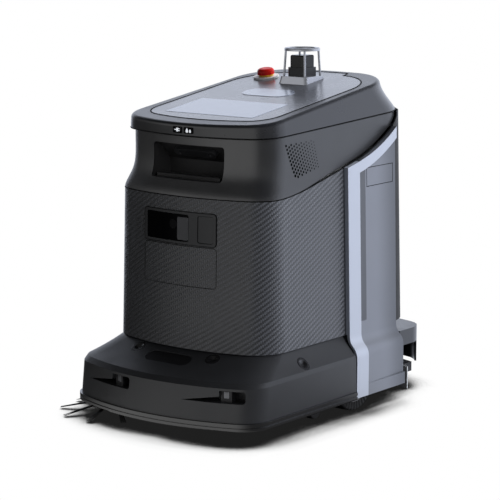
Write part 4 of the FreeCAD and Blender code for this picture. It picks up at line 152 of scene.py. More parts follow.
# Units inside the tub: battery, suction motor, control board and gear motors.
# Cast cases and a green laminate, all screwed to the chassis floor and hidden by the shells.
cast_case = grained(finish("cast_case", (0.11, 0.112, 0.12), 0.5, metal=0.8), 500, 0.0003)
board_green = grained(finish("board_green", (0.02, 0.11, 0.05), 0.4), 250, 0.0002)
turned_steel = grained(finish("turned_steel", (0.5, 0.5, 0.52), 0.3, metal=1.0), 900, 0.00005)
dress(cast_case, "battery_pack", "suction_motor", "side_brush_motor")
dress(board_green, "control_board")
dress(turned_steel, "drive_axles", "bumper_guides")

# Water tanks: rotation-moulded, milky plastic, set in the tub beside each other.
# Their filler caps stand through the tray under the lid.
tank_milk = grained(finish("tank_milk", (0.5, 0.52, 0.54), 0.45), 150, 0.0004)
dress(tank_milk, "clean_water_tank", "waste_water_tank")

# Drive wheels: moulded grey hubs with black rubber tyres pressed on.
# The tread's cross grooves are a pattern round the axle on the rubber.
hub_grey = grained(finish("hub_grey", (0.1, 0.1, 0.11), 0.5), 500, 0.0002)
dress(hub_grey, "drive_hub_left", "drive_hub_right")
tyre_black = finish("tyre_black", (0.014, 0.014, 0.015), 0.75)
axle_z = 0.075
groove_count = 40
groove_depth = 0.0015


def sum_node(holder, operation, first, second=None):
    """A maths node over sockets and plain numbers."""
    node = put(holder, "ShaderNodeMath", operation=operation)
    for socket, value in zip(node.inputs, (first, second)):
        if value is None:
            continue
        if isinstance(value, (int, float)):
            socket.default_value = value
        else:
            wire(holder, value, socket)
    return node.outputs["Value"]


def place_split(holder, kind="Object"):
    """The place of each point as three sockets."""
    place = put(holder, "ShaderNodeTexCoord")
    split = put(holder, "ShaderNodeSeparateXYZ")
    wire(holder, place.outputs[kind], split.inputs["Vector"])
    return split.outputs["X"], split.outputs["Y"], split.outputs["Z"]


_, tyre_y, tyre_z = place_split(tyre_black)
above_axle = sum_node(tyre_black, "SUBTRACT", tyre_z, axle_z)
tyre_turn = sum_node(tyre_black, "ARCTAN2", tyre_y, above_axle)
groove_wave = sum_node(tyre_black, "SINE", sum_node(tyre_black, "MULTIPLY", tyre_turn, groove_count))
bumped(tyre_black, groove_wave, groove_depth)
dress(tyre_black, "drive_tyre_left", "drive_tyre_right")

# Casters: zinc-plated forks that swivel in the chassis, with small rubber wheels.
# The forks are pressed steel and the wheels run on plain axles.
plated_steel = grained(finish("plated_steel", (0.45, 0.46, 0.49), 0.38, metal=0.6), 300, 0.0001)
soft_rubber = grained(finish("soft_rubber", (0.016, 0.016, 0.017), 0.62), 700, 0.0002)
dress(plated_steel, "caster_fork_left", "caster_fork_right")
dress(soft_rubber, "caster_wheel_left", "caster_wheel_right")

# Roller brush: rows of nylon fins on a plastic core, hung in the deck between two journals.
# It only shows from below.
roller_blue = grained(finish("roller_blue", (0.03, 0.05, 0.11), 0.7), 1500, 0.0006)
dress(roller_blue, "roller_brush")

# Side brush: ten tufts of black nylon that sweep dirt in front of the roller.
# Each tuft is a bundle of thin strands, set in the hub and drooping to the floor.
hub_x = -0.2
hub_y = -0.335
tuft_root_r = 0.0275
tuft_tip_r = 0.1275
tuft_root_z = 0.0244
tuft_tip_z = 0.004
tuft_count = 10
tuft_start = 31
strand_count = 9
strand_radius = 0.0008
strand_taper = 0.6
strand_apart = 0.0017
fan_across = 0.022
fan_up = 0.008
droop_spread = 0.014
droop_lift = 0.006


def joined(parts, name):
    """Join copies into one piece."""
    bpy.ops.object.select_all(action="DESELECT")
    for part in parts:
        part.select_set(True)
    bpy.context.view_layer.objects.active = parts[0]
    bpy.ops.object.join()
    piece = bpy.context.view_layer.objects.active
    piece.name = name
    piece.data.name = name
    return piece


def copy_of(source, matrix):
    """A copy with its own mesh, its place worked into the mesh."""
    part = source.copy()
    part.data = source.data.copy()
    part.data.transform(matrix)
    bpy.context.scene.collection.objects.link(part)
    return part


def clad(piece, material, body):
    """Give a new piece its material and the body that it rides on."""
    piece.data.materials.clear()
    piece.data.materials.append(material)
    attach(piece, body)


bpy.ops.object.select_all(action="DESELECT")
strand_long = math.hypot(tuft_tip_r - tuft_root_r, tuft_root_z - tuft_tip_z)
bpy.ops.mesh.primitive_cone_add(
    vertices=6, radius1=strand_radius, radius2=strand_radius * strand_taper, depth=strand_long,
    location=(0, 0, strand_long / 2))
strand = bpy.context.active_object
bpy.ops.object.transform_apply(location=True, rotation=True, scale=True)
bpy.ops.object.mode_set(mode="EDIT")
bpy.ops.mesh.select_all(action="DESELECT")
mesh = bmesh.from_edit_mesh(strand.data)
for edge in mesh.edges:
    edge.select = abs(edge.verts[0].co.z - edge.verts[1].co.z) > strand_long / 2
bmesh.update_edit_mesh(strand.data)
bpy.ops.mesh.subdivide(number_cuts=5)
bpy.ops.object.mode_set(mode="OBJECT")
strands = []
for tuft in range(tuft_count):
    turn = math.radians(tuft_start + tuft * 360 / tuft_count)
    for number in range(strand_count):
        across = number % 3 - 1
        up = number // 3 - 1
        fan = across * fan_across + up * fan_up
        droop = math.atan2(tuft_root_z - tuft_tip_z, tuft_tip_r - tuft_root_r)
        droop += up * droop_spread - droop_lift
        place = (
            Matrix.Translation((hub_x, hub_y, tuft_root_z))
            @ Matrix.Rotation(turn + fan, 4, "Z")
            @ Matrix.Translation((tuft_root_r, across * strand_apart, up * strand_apart))
            @ Matrix.Rotation(math.pi / 2 + droop, 4, "Y"))
        strands.append(copy_of(strand, place))
bpy.data.objects.remove(strand)
bristles = joined(strands, "side_brush_strands")
bpy.ops.object.shade_smooth()
bristle_black = grained(finish("bristle_black", (0.012, 0.012, 0.013), 0.5, specular=0.3), 900, 0.0001)
clad(bristles, bristle_black, "side_brush")
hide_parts("side_brush_bristles")

# Rear bracket: a bowed grey guard behind the tub that carries the squeegee on two rods.
# Moulded plastic with a satin grain.
bracket_grey = grained(finish("bracket_grey", (0.009, 0.01, 0.013), 0.3, specular=0.7), 600, 0.0001)
dress(bracket_grey, "rear_bracket")

# Squeegee: two bowed rubber blades clamped in a black holder, with the suction hose over its spigot.
# The blades are pale translucent rubber whose edges catch the light.
blade_grey = grained(finish("blade_grey", (0.42, 0.44, 0.47), 0.35), 400, 0.0002)
hose_black = grained(finish("hose_black", (0.02, 0.02, 0.022), 0.5), 400, 0.0003)
dress(tub_black, "squeegee_holder")
dress(blade_grey, "squeegee_blades")
dress(hose_black, "suction_hose")

# Body shell and its access panel: moulded in one piece with a raised twill weave all over.
# The weave is a bump of crossing threads, two over and two under, that runs round the corners.
# Thin black lines of painted shade lie in the gap round the panel and in the seam under the upper shell.
thread_wide = 0.0057
thread_tall = 0.0028
thread_high = 0.00036
weave_repeat = 4.0
weave_over = 1.5
body_front = 0.36
front_half = 0.1
weft_dark = (0.033, 0.035, 0.0405)
warp_dark = (0.08, 0.085, 0.1)
weave_dark = finish("weave_dark", warp_dark, 0.3, specular=0.56)
body_x, body_y, body_z = place_split(weave_dark)
side_of = sum_node(weave_dark, "DIVIDE", body_x, front_half)
side_of = sum_node(weave_dark, "MINIMUM", sum_node(weave_dark, "MAXIMUM", side_of, -1.0), 1.0)
past_front = sum_node(weave_dark, "ADD", body_y, body_front)
round_body = sum_node(weave_dark, "MULTIPLY", side_of, past_front)
round_body = sum_node(weave_dark, "ADD", round_body, body_x)
warp_run = sum_node(weave_dark, "DIVIDE", round_body, thread_wide)
weft_run = sum_node(weave_dark, "DIVIDE", body_z, thread_tall)
warp_cell = sum_node(weave_dark, "FLOOR", warp_run)
weft_cell = sum_node(weave_dark, "FLOOR", weft_run)
step_along = sum_node(weave_dark, "SUBTRACT", warp_cell, weft_cell)
step_phase = sum_node(weave_dark, "FLOORED_MODULO", step_along, weave_repeat)
warp_over = sum_node(weave_dark, "LESS_THAN", step_phase, weave_over)


def crown(run):
    """Height across a round thread."""
    part = sum_node(weave_dark, "FRACT", run)
    part = sum_node(weave_dark, "SUBTRACT", part, 0.5)
    part = sum_node(weave_dark, "POWER", sum_node(weave_dark, "ABSOLUTE", part), 2.0)
    return sum_node(weave_dark, "MULTIPLY", part, -4.0)


weave_height = put(weave_dark, "ShaderNodeMix", data_type="FLOAT")
wire(weave_dark, warp_over, weave_height.inputs["Factor"])
wire(weave_dark, crown(weft_run), weave_height.inputs["A"])
wire(weave_dark, crown(warp_run), weave_height.inputs["B"])
bumped(weave_dark, weave_height.outputs["Result"], thread_high)
weave_tone = blended(weave_dark, warp_over, weft_dark, warp_dark)
wire(weave_dark, weave_tone, weave_dark.node_tree.nodes["Principled BSDF"].inputs["Base Color"])
weave_wear = put(weave_dark, "ShaderNodeGroup", node_tree=grain)
mottled(weave_dark, weave_wear.outputs["Mottle"])
dress(weave_dark, "body_shell", "front_access_panel")
# Black for the gap lines: painted shade in the seams between parts.
gap_shade_black = grained(finish("gap_shade_black", (0.004, 0.004, 0.004), 0.6, specular=0.1), 900, 0.00005)


def longest_loop(edges):
    """The longest of the closed loops that some edges make."""
    loops = []
    rest = set(edges)
    while rest:
        loop = [rest.pop()]
        for edge in loop:
            for vertex in edge.verts:
                for other in vertex.link_edges:
                    if other in rest:
                        rest.remove(other)
                        loop.append(other)
        loops.append(loop)
    return max(loops, key=lambda loop: sum(edge.calc_length() for edge in loop))


def gap_shade_line(name, node, facing, radius, body):
    """A thin black line of painted shade that runs round the outer edge of a piece's face, half sunk in its
    gap.
    """
    facing = Vector(facing)
    straight_on = 0.8
    sunk = 0.5
    shade_tube = bpy.data.objects.new(name, nodes[node].data.copy())
    shade_tube.data.name = name
    bpy.context.scene.collection.objects.link(shade_tube)
    bpy.ops.object.select_all(action="DESELECT")
    shade_tube.select_set(True)
    bpy.context.view_layer.objects.active = shade_tube
    bpy.ops.object.mode_set(mode="EDIT")
    bpy.ops.mesh.select_all(action="SELECT")
    bpy.ops.mesh.remove_doubles(threshold=0.00002)
    bpy.ops.mesh.select_mode(type="FACE")
    bpy.ops.mesh.select_all(action="DESELECT")
    mesh = bmesh.from_edit_mesh(shade_tube.data)
    for face in mesh.faces:
        face.select = face.normal.dot(facing) > straight_on
    bmesh.update_edit_mesh(shade_tube.data)
    bpy.ops.mesh.region_to_loop()
    mesh = bmesh.from_edit_mesh(shade_tube.data)
    kept = set(longest_loop([edge for edge in mesh.edges if edge.select]))
    bmesh.ops.delete(mesh, geom=list(mesh.faces), context="FACES_ONLY")
    bmesh.ops.delete(mesh, geom=[edge for edge in mesh.edges if edge not in kept], context="EDGES")
    bmesh.ops.delete(mesh, geom=[vertex for vertex in mesh.verts if not vertex.link_edges], context="VERTS")
    bmesh.ops.translate(mesh, verts=mesh.verts, vec=facing * -radius * sunk)
    bmesh.update_edit_mesh(shade_tube.data)
    bpy.ops.object.mode_set(mode="OBJECT")
    bpy.ops.object.convert(target="CURVE")
    shade_tube = bpy.context.view_layer.objects.active
    shade_tube.data.bevel_depth = radius
    shade_tube.data.bevel_resolution = 1
    bpy.ops.object.convert(target="MESH")
    shade_tube = bpy.context.view_layer.objects.active
    bpy.ops.object.shade_smooth()
    clad(shade_tube, gap_shade_black, body)


gap_shade_line("access_panel_gap_shade", "front_access_panel", (0, -1, 0), 0.001, "chassis")
gap_shade_line("neck_seam_gap_shade", "body_shell", (0, 0, 1), 0.0008, "chassis")

# Upper shell, tray under the lid and rear cover: plain dark mouldings with a fine grain, screwed together.
# The cover closes the body behind the wings, and the lid's plated hinge is bolted to its top.
shell_black = grained(finish("shell_black", (0.0165, 0.0172, 0.0195), 0.36, specular=0.85), 800, 0.00015)
cover_black = grained(finish("cover_black", (0.03, 0.031, 0.034), 0.55, specular=0.05), 800, 0.0002)
dress(shell_black, "upper_shell", "inner_tray")
dress(cover_black, "rear_cover")
dress(plated_steel, "lid_hinge_base", "lid_hinge_leaf")

# Speaker grilles: slanted fields of round holes on both sides of the upper shell, smaller to the rear.
# Each hole is a dished black cup set on the shell's surface, painted shade standing in for the dark inside
# a real hole.
grille_top_front = Vector((0, -0.232, 0.619))
grille_top_rear = Vector((0, -0.134, 0.622))
grille_low_rear = Vector((0, -0.117, 0.563))
grille_low_front = Vector((0, -0.2, 0.548))
grille_columns = 12
grille_rows = 9
hole_radius = 0.003
hole_less_rear = 0.0018
hole_more_low = 0.0004
hole_lift = 0.00015
cup_rim = 0.25
cup_deep = 0.03
outside_x = 0.3
hole_shade_and_speaker_black = grained(finish("hole_shade_and_speaker_black", (0.003, 0.003, 0.003), 0.9, specular=0.05), 900, 0.0001)
bpy.ops.object.select_all(action="DESELECT")
bpy.ops.mesh.primitive_circle_add(vertices=10, radius=1, fill_type="NGON", location=(0, 0, 0))
hole_shade_cup = bpy.context.active_object
bpy.ops.object.mode_set(mode="EDIT")
bpy.ops.mesh.select_all(action="SELECT")
bpy.ops.mesh.inset(thickness=cup_rim, depth=-cup_deep)
bpy.ops.object.mode_set(mode="OBJECT")
shell_side = nodes["upper_shell"]
for hand, side in (("left", 1), ("right", -1)):
    cups = []
    for column in range(grille_columns):
        for row in range(grille_rows):
            along = column / (grille_columns - 1)
            down = (row + 0.5 * (column % 2)) / (grille_rows - 0.5)
            top = grille_top_front.lerp(grille_top_rear, along)
            low = grille_low_front.lerp(grille_low_rear, along)
            start = top.lerp(low, down) + Vector((outside_x * side, 0, 0))
            hit, spot, normal, _ = shell_side.ray_cast(start, Vector((-side, 0, 0)))
            if not hit:
                continue
            radius = hole_radius - hole_less_rear * along + hole_more_low * down
            turn = normal.to_track_quat("Z", "Y").to_matrix().to_4x4()
            place = Matrix.Translation(spot + normal * hole_lift) @ turn
            cups.append(copy_of(hole_shade_cup, place @ Matrix.Diagonal((radius, radius, radius, 1))))
    grille = joined(cups, f"speaker_grille_{hand}")
    clad(grille, hole_shade_and_speaker_black, "chassis")
bpy.data.objects.remove(hole_shade_cup)
# The hidden speakers share that black, here their own colour.
dress(hole_shade_and_speaker_black, "speakers")

# Sensor bay: a deep black pocket in the upper shell with the stereo camera bar under its roof.
# The bar is a smooth black moulding. The lining and the bar are coloured lighter than black, painted light
# that stands in for the light the pocket's shade keeps out.
bay_painted_light = grained(finish("bay_painted_light", (0.048, 0.048, 0.05), 0.5, specular=0.2), 800, 0.0002)
bar_painted_light = grained(finish("bar_painted_light", (0.06, 0.062, 0.068), 0.3, specular=0.4), 400, 0.00005)
dress(bay_painted_light, "sensor_bay")
dress(bar_painted_light, "bay_camera")

# Front camera: a black frame let into the shell with a dark glass and a plain cover beside it.
# The glass is gloss, the cover has the frame's own grain, and thin black lines of painted shade lie in the
# gaps round both.
# A grey projector window is bonded on the glass, beside the rim of the lens.
frame_black = grained(finish("frame_black", (0.03, 0.031, 0.034), 0.42, specular=0.35), 800, 0.00015)
lens_black = grained(finish("lens_black", (0.003, 0.003, 0.004), 0.12, specular=0.04), 60, 0.00001, 0.0004)
dress(frame_black, "front_camera_frame", "front_camera_cover")
dress(lens_black, "front_camera_glass")


def applied(piece, kind, **values):
    """Add a modifier with its values and apply it."""
    bpy.ops.object.select_all(action="DESELECT")
    piece.select_set(True)
    bpy.context.view_layer.objects.active = piece
    modifier = piece.modifiers.new(kind, kind)
    for key, value in values.items():
        setattr(modifier, key, value)
    bpy.ops.object.modifier_apply(modifier=modifier.name)


def plate(name, centre, width, height, corner):
    """A flat plate with round corners that faces the front."""
    bpy.ops.object.select_all(action="DESELECT")
    bpy.ops.mesh.primitive_plane_add(size=1, location=centre, rotation=(math.pi / 2, 0, 0))
    piece = bpy.context.active_object
    piece.name = name
    piece.data.name = name
    piece.scale = (width, height, 1)
    bpy.ops.object.transform_apply(location=True, rotation=True, scale=True)
    bpy.ops.object.mode_set(mode="EDIT")
    bpy.ops.mesh.select_all(action="SELECT")
    bpy.ops.mesh.bevel(offset=corner, segments=5, affect="VERTICES")
    bpy.ops.object.mode_set(mode="OBJECT")
    return piece


def laid_on(piece, target, thick):
    """Press a flat piece from the front onto what carries it, and give it its thickness."""
    applied(piece, "SHRINKWRAP", target=target, wrap_method="PROJECT", use_project_y=True, offset=0.0001)
    applied(piece, "SOLIDIFY", thickness=thick, offset=1.0)
    applied(piece, "BEVEL", width=thick * 0.4, segments=2, limit_method="ANGLE")


def disc(name, centre, radius, count):
    """A flat round disc that faces the front."""
    bpy.ops.object.select_all(action="DESELECT")
    bpy.ops.mesh.primitive_circle_add(
        vertices=count, radius=radius, fill_type="NGON", location=centre, rotation=(math.pi / 2, 0, 0))
    piece = bpy.context.active_object
    piece.name = name
    piece.data.name = name
    bpy.ops.object.transform_apply(location=True, rotation=True, scale=True)
    return piece


ahead_y = -0.4
window_x = 0.0145
window_z = 0.4388
window_wide = 0.03
window_tall = 0.0495
window_corner = 0.003
window_thick = 0.0008
lens_x = -0.0125
lens_z = 0.447
lens_radius = 0.0105
lens_thick = 0.0004
window_place = (window_x, ahead_y, window_z)
camera_window = plate("front_camera_window", window_place, window_wide, window_tall, window_corner)
laid_on(camera_window, nodes["front_camera_glass"], window_thick)
window_grey = grained(finish("window_grey", (0.13, 0.133, 0.145), 0.3, specular=0.3), 400, 0.0001)
clad(camera_window, window_grey, "chassis")
camera_lens = disc("front_camera_lens", (lens_x, ahead_y, lens_z), lens_radius, 40)
laid_on(camera_lens, nodes["front_camera_glass"], lens_thick)
lens_rim = grained(finish("lens_rim", (0.006, 0.006, 0.007), 0.2, specular=0.08), 60, 0.00001, 0.0003)
clad(camera_lens, lens_rim, "chassis")
gap_shade_line("front_camera_cover_gap_shade", "front_camera_cover", (0, -1, 0), 0.001, "chassis")
gap_shade_line("front_camera_frame_gap_shade", "front_camera_frame", (0, -1, 0), 0.0009, "chassis")

# Side wings: satin silver mouldings clipped over the body, with a bright band round a greyer panel.
# The paint's tones go by place: the band in front and along the rim, the panel behind it, with painted
# shade that darkens it as it turns to the rear, and a slot whose darker grey is painted shade, with a
# painted shadow along its front edge. The flaps have a thin black line of painted shade in the gap round
# them.
band_silver = (0.4, 0.435, 0.52)
panel_silver = (0.165, 0.178, 0.212)
# Painted shade for the panel's turn to the rear and for the slot, with a painted shadow at the slot's front
# edge.
panel_painted_shade = (0.085, 0.092, 0.11)
slot_painted_shade = (0.105, 0.112, 0.13)
slot_edge_painted_shadow = (0.008, 0.008, 0.009)
draft = 0.0227
body_half = 0.218
draft_from_z = 0.178
band_rear_y = 0.0109
rim_low_z = 0.19
rim_stand_off = 0.01
slot_shadow_edge_y = 0.0185
slot_rear_y = 0.0348
slot_low_z = 0.203
slot_stand_off = 0.0089
panel_shade_from_y = 0.07
panel_shade_full_y = 0.165
wing_silver = finish("wing_silver", band_silver, 0.36, metal=0.3)
wing_x, wing_y, wing_z = place_split(wing_silver)


def ramp(holder, value, low, high, first, last):
    """A soft step from one value to another."""
    node = put(holder, "ShaderNodeMapRange", interpolation_type="SMOOTHSTEP")
    for key, number in (("From Min", low), ("From Max", high), ("To Min", first), ("To Max", last)):
        node.inputs[key].default_value = number
    wire(holder, value, node.inputs["Value"])
    return node.outputs["Result"]


stand_off = sum_node(wing_silver, "ABSOLUTE", wing_x)
stand_off = sum_node(wing_silver, "ADD", stand_off, sum_node(wing_silver, "MULTIPLY", wing_z, draft))
stand_off = sum_node(wing_silver, "SUBTRACT", stand_off, body_half + draft_from_z * draft)
behind_band = sum_node(wing_silver, "GREATER_THAN", wing_y, band_rear_y)
rim_high = sum_node(wing_silver, "GREATER_THAN", wing_z, rim_low_z)
rim_proud = sum_node(wing_silver, "GREATER_THAN", stand_off, rim_stand_off)
not_rim = sum_node(wing_silver, "SUBTRACT", 1.0, sum_node(wing_silver, "MULTIPLY", rim_high, rim_proud))
panel_mask = sum_node(wing_silver, "MULTIPLY", behind_band, not_rim)
slot_near = sum_node(wing_silver, "LESS_THAN", wing_y, slot_rear_y)
slot_high = sum_node(wing_silver, "GREATER_THAN", wing_z, slot_low_z)
slot_deep = sum_node(wing_silver, "LESS_THAN", stand_off, slot_stand_off)
slot_shade_mask = sum_node(wing_silver, "MULTIPLY", panel_mask, slot_near)
slot_shade_mask = sum_node(wing_silver, "MULTIPLY", slot_shade_mask, slot_high)
slot_shade_mask = sum_node(wing_silver, "MULTIPLY", slot_shade_mask, slot_deep)
# Painted shade: the panel's colour darkens from here towards the rear.
panel_shade_amount = ramp(wing_silver, wing_y, panel_shade_from_y, panel_shade_full_y, 0.0, 1.0)
panel_shaded_tone = blended(wing_silver, panel_shade_amount, panel_silver, panel_painted_shade)
wing_tone = blended(wing_silver, panel_mask, band_silver, panel_shaded_tone)
# Painted shadow along the slot's front edge, over the slot's painted shade.
slot_shadow_edge = sum_node(wing_silver, "LESS_THAN", wing_y, slot_shadow_edge_y)
slot_shade_tone = blended(wing_silver, slot_shadow_edge, slot_painted_shade, slot_edge_painted_shadow)
wing_tone = blended(wing_silver, slot_shade_mask, wing_tone, slot_shade_tone)
wire(wing_silver, wing_tone, wing_silver.node_tree.nodes["Principled BSDF"].inputs["Base Color"])
grained(wing_silver, 1200, 0.00006)
gap_shade_line("wing_flap_gap_shade_left", "wing_flap_left", (1, 0, 0), 0.0013, "wing_flap_left")
gap_shade_line("wing_flap_gap_shade_right", "wing_flap_right", (-1, 0, 0), 0.0013, "wing_flap_right")
dress(wing_silver, "side_wing_left", "side_wing_right", "wing_flap_left", "wing_flap_right")

# Front bumper: a charcoal moulding with a hollow upper curve, sprung to the chassis on two rods.
# A soft double bead is pushed on round its lower edge.
bumper_black = grained(finish("bumper_black", (0.0215, 0.0225, 0.0255), 0.4, specular=0.5), 700, 0.0002)
strip_black = grained(finish("strip_black", (0.006, 0.006, 0.007), 0.2, specular=0.9), 500, 0.00003)
dress(bumper_black, "bumper")
dress(strip_black, "bumper_strip")

# Bumper sensors: gloss black ultrasonic cups, a dark window and two line lasers in their fan slots.
# All are clipped in from behind. Each laser looks out through a pale square lens.
sensor_black = grained(finish("sensor_black", (0.008, 0.008, 0.009), 0.35, specular=0.2), 600, 0.00002)
laser_grey = grained(finish("laser_grey", (0.03, 0.03, 0.033), 0.45, specular=0.3), 500, 0.0001)
lens_pale = grained(finish("lens_pale", (0.5, 0.51, 0.55), 0.25), 80, 0.00002)
cup_black = grained(finish("cup_black", (0.006, 0.006, 0.007), 0.22, specular=0.6), 600, 0.00002)
dress(cup_black, "round_sensors")
dress(sensor_black, "bumper_window")
dress(laser_grey, "line_lasers")
laser_place = (0.0305, -0.44905, 0.1104)
laser_wide = 0.0122
laser_tall = 0.0144
laser_corner = 0.001
laser_thick = 0.0008
laser_edge = 0.0003
bow_centre = Matrix.Translation((0, 0.093, 0))
for hand, turn in (("left", 16.7), ("right", -13)):
    laser_lens = plate(f"laser_lens_{hand}", laser_place, laser_wide, laser_tall, laser_corner)
    applied(laser_lens, "SOLIDIFY", thickness=laser_thick, offset=1.0)
    applied(laser_lens, "BEVEL", width=laser_edge, segments=2, limit_method="ANGLE")
    bow_turn = Matrix.Rotation(math.radians(turn), 4, "Z")
    laser_lens.data.transform(bow_centre @ bow_turn @ bow_centre.inverted())
    clad(laser_lens, lens_pale, "bumper")

# Lid: a satin black moulding, hinged at the rear, with a large round over its top edge.
# The top panel is let in flush, with a glossier finish and a thin black line of painted shade in its gap.
# Another thin black line of painted shade runs round the lid's lower edge.
lid_black = grained(finish("lid_black", (0.016, 0.017, 0.0208), 0.3, specular=0.45, coat=0.4), 800, 0.00004)
panel_black = finish("panel_black", (0.085, 0.092, 0.115), 0.28, specular=0.8, coat=1.0)
grained(panel_black, 300, 0.000002)
dress(lid_black, "lid")
dress(panel_black, "top_panel")
gap_shade_line("top_panel_gap_shade", "top_panel", (0, 0, 1), 0.0022, "lid")
gap_shade_line("lid_gap_shade", "lid", (0, 0, -1), 0.0011, "lid")

# Touchscreen and oval pad: coated glass bonded to the top panel, flat and gloss.
# Their pale bluish colour is a painted reflection of the bright surround; the coat gives the real gloss.
screen_painted_reflection = grained(finish("screen_painted_reflection", (0.27, 0.31, 0.41), 0.2, specular=0.8, coat=0.7), 60, 0.000005)
dress(screen_painted_reflection, "touchscreen", "oval_pad")

# Indicator tiles: two black gloss tiles on the lid's front edge, each with a lit white sign.
# The signs are plain shapes, a plug and two drops, pressed on from the front.
dress(lens_black, "indicator_tiles")
tile_x = 0.0155
tile_z = 0.6485
plug_wide = 0.0056
plug_tall = 0.0082
prong_x = 0.0048
prong_z = 0.0021
prong_long = 0.0042
prong_thick = 0.0016
cord_x = 0.0054
cord_long = 0.0054
cord_thick = 0.002
drop_top = 0.99
drop_rise = 1.1
drop_reach = 1.2
sign_thick = 0.0003
plug_parts = [plate("plug_body", (-tile_x, ahead_y, tile_z), plug_wide, plug_tall, 0.0018)]
for z in (tile_z + prong_z, tile_z - prong_z):
    plug_parts.append(plate("plug_prong", (prong_x - tile_x, ahead_y, z), prong_long, prong_thick, 0.0004))
plug_parts.append(plate("plug_cord", (-cord_x - tile_x, ahead_y, tile_z), cord_long, cord_thick, 0.0006))
plug_sign = joined(plug_parts, "plug_sign")
drop_parts = []
for x, z, radius in ((-0.004, -0.0016, 0.0034), (0.0044, -0.0022, 0.0026)):
    drop = disc("drop", (x + tile_x, ahead_y, z + tile_z), radius, 24)
    bpy.ops.object.mode_set(mode="EDIT")
    bpy.ops.mesh.select_all(action="DESELECT")
    mesh = bmesh.from_edit_mesh(drop.data)
    for vertex in mesh.verts:
        vertex.select = vertex.co.z > z + tile_z + radius * drop_top
    mesh.select_flush(True)
    bmesh.update_edit_mesh(drop.data)
    bpy.ops.transform.translate(
        value=(0, 0, radius * drop_rise), use_proportional_edit=True, proportional_edit_falloff="SHARP",
        proportional_size=radius * drop_reach)
    bpy.ops.object.mode_set(mode="OBJECT")
    drop_parts.append(drop)
drop_sign = joined(drop_parts, "drop_sign")
sign_white = grained(finish("sign_white", (0.8, 0.82, 0.86), 0.4), 80, 0.00002)
sign_light = sign_white.node_tree.nodes["Principled BSDF"]
sign_light.inputs["Emission Color"].default_value = (0.9, 0.94, 1, 1)
sign_light.inputs["Emission Strength"].default_value = 0.7
for sign in (plug_sign, drop_sign):
    laid_on(sign, nodes["indicator_tiles"], sign_thick)
    clad(sign, sign_white, "lid")

# Emergency stop: a white plate, a yellow collar and a red mushroom button that is pushed down.
# Gloss mouldings screwed through the lid.
stop_white = grained(finish("stop_white", (0.8, 0.81, 0.83), 0.3), 300, 0.00005)
stop_yellow = grained(finish("stop_yellow", (0.72, 0.42, 0.02), 0.3), 300, 0.00005)
stop_red = grained(finish("stop_red", (0.66, 0.016, 0.012), 0.35, specular=0.2), 300, 0.00005)
dress(stop_white, "estop_plate")
dress(stop_yellow, "estop_collar")
dress(stop_red, "estop_button")

# Lidar: a scanner under a smoked window, inside a guard of four posts and a ring.
# Mount and guard are satin anodised aluminium, screwed to the lid.
anodised = grained(finish("anodised", (0.42, 0.435, 0.48), 0.3, metal=0.75), 600, 0.00006)
scanner_grey = grained(finish("scanner_grey", (0.02, 0.021, 0.024), 0.3, specular=0.3), 500, 0.00004)
smoked_glass = finish("smoked_glass", (0.008, 0.0083, 0.0095), 0.15, specular=0.3)
grained(smoked_glass, 60, 0.00001, 0.0004)
dress(anodised, "lidar_mount", "lidar_guard")
dress(scanner_grey, "lidar_base", "lidar_rotor")
dress(smoked_glass, "lidar_window")

# Studio: a pale glowing floor with a painted contact shadow, a white surround, three soft lamps and the
# camera.
# Reflections find it dim to the far left, beside the camera and overhead, and cooler behind the robot.
# None of it belongs to the robot.
shadow_reach = 0.11
shadow_deep = 0.014
surround_dim = 0.04
overhead_dim = 0.12
left_from = -2.0
left_full = -1.6
left_soft = 0.5
near_from = 0.35
near_full = 0.75
near_end = 1.6
near_gone = 2.2
cool_from_y = -0.3
cool_full_y = 0.5
cool_tint = (1.02, 1.09, 1.26)
bpy.ops.object.select_all(action="DESELECT")
bpy.ops.mesh.primitive_plane_add(size=14, location=(0, 0, 0))
floor = bpy.context.active_object
floor.name = "studio_floor"
floor_white = finish("floor_white", (0.1, 0.1, 0.1), 0.9, specular=0.0)
floor.data.materials.append(floor_white)


def seen_rays(holder):
    """Whether the camera, a reflection or clear glass sees a point, and whether it is the camera itself."""
    rays = put(holder, "ShaderNodeLightPath")
    camera_ray = rays.outputs["Is Camera Ray"]
    seen = sum_node(holder, "MAXIMUM", camera_ray, rays.outputs["Is Glossy Ray"])
    return sum_node(holder, "MAXIMUM", seen, rays.outputs["Is Transmission Ray"]), camera_ray


def dimmed(holder, across, along, left_end, left_dark, near_dark):
    """How bright reflections find the studio round the robot, by the angle from straight ahead."""
    ahead = sum_node(holder, "MULTIPLY", along, -1.0)
    turn = sum_node(holder, "ARCTAN2", across, ahead)
    left_in = ramp(holder, turn, left_from, left_full, 0.0, 1.0)
    left_out = ramp(holder, turn, left_end - left_soft, left_end, left_dark, 0.0)
    near_in = ramp(holder, turn, near_from, near_full, 0.0, near_dark)
    near_out = ramp(holder, turn, near_end, near_gone, 1.0, 0.0)
    left = sum_node(holder, "MULTIPLY", left_out, left_in)
    near = sum_node(holder, "MULTIPLY", near_in, near_out)
    return sum_node(holder, "SUBTRACT", 1.0, sum_node(holder, "ADD", left, near))


def cooled(holder, along, camera_ray):
    """The colour of what reflections find: neutral in front, cooler behind, and white to the camera."""
    behind = ramp(holder, along, cool_from_y, cool_full_y, 0.0, 1.0)
    hidden = sum_node(holder, "SUBTRACT", 1.0, camera_ray)
    factor = sum_node(holder, "MULTIPLY", behind, hidden)
    return blended(holder, factor, (1, 1, 1), cool_tint)


floor_seen, floor_camera = seen_rays(floor_white)
floor_x, floor_y, _ = place_split(floor_white)
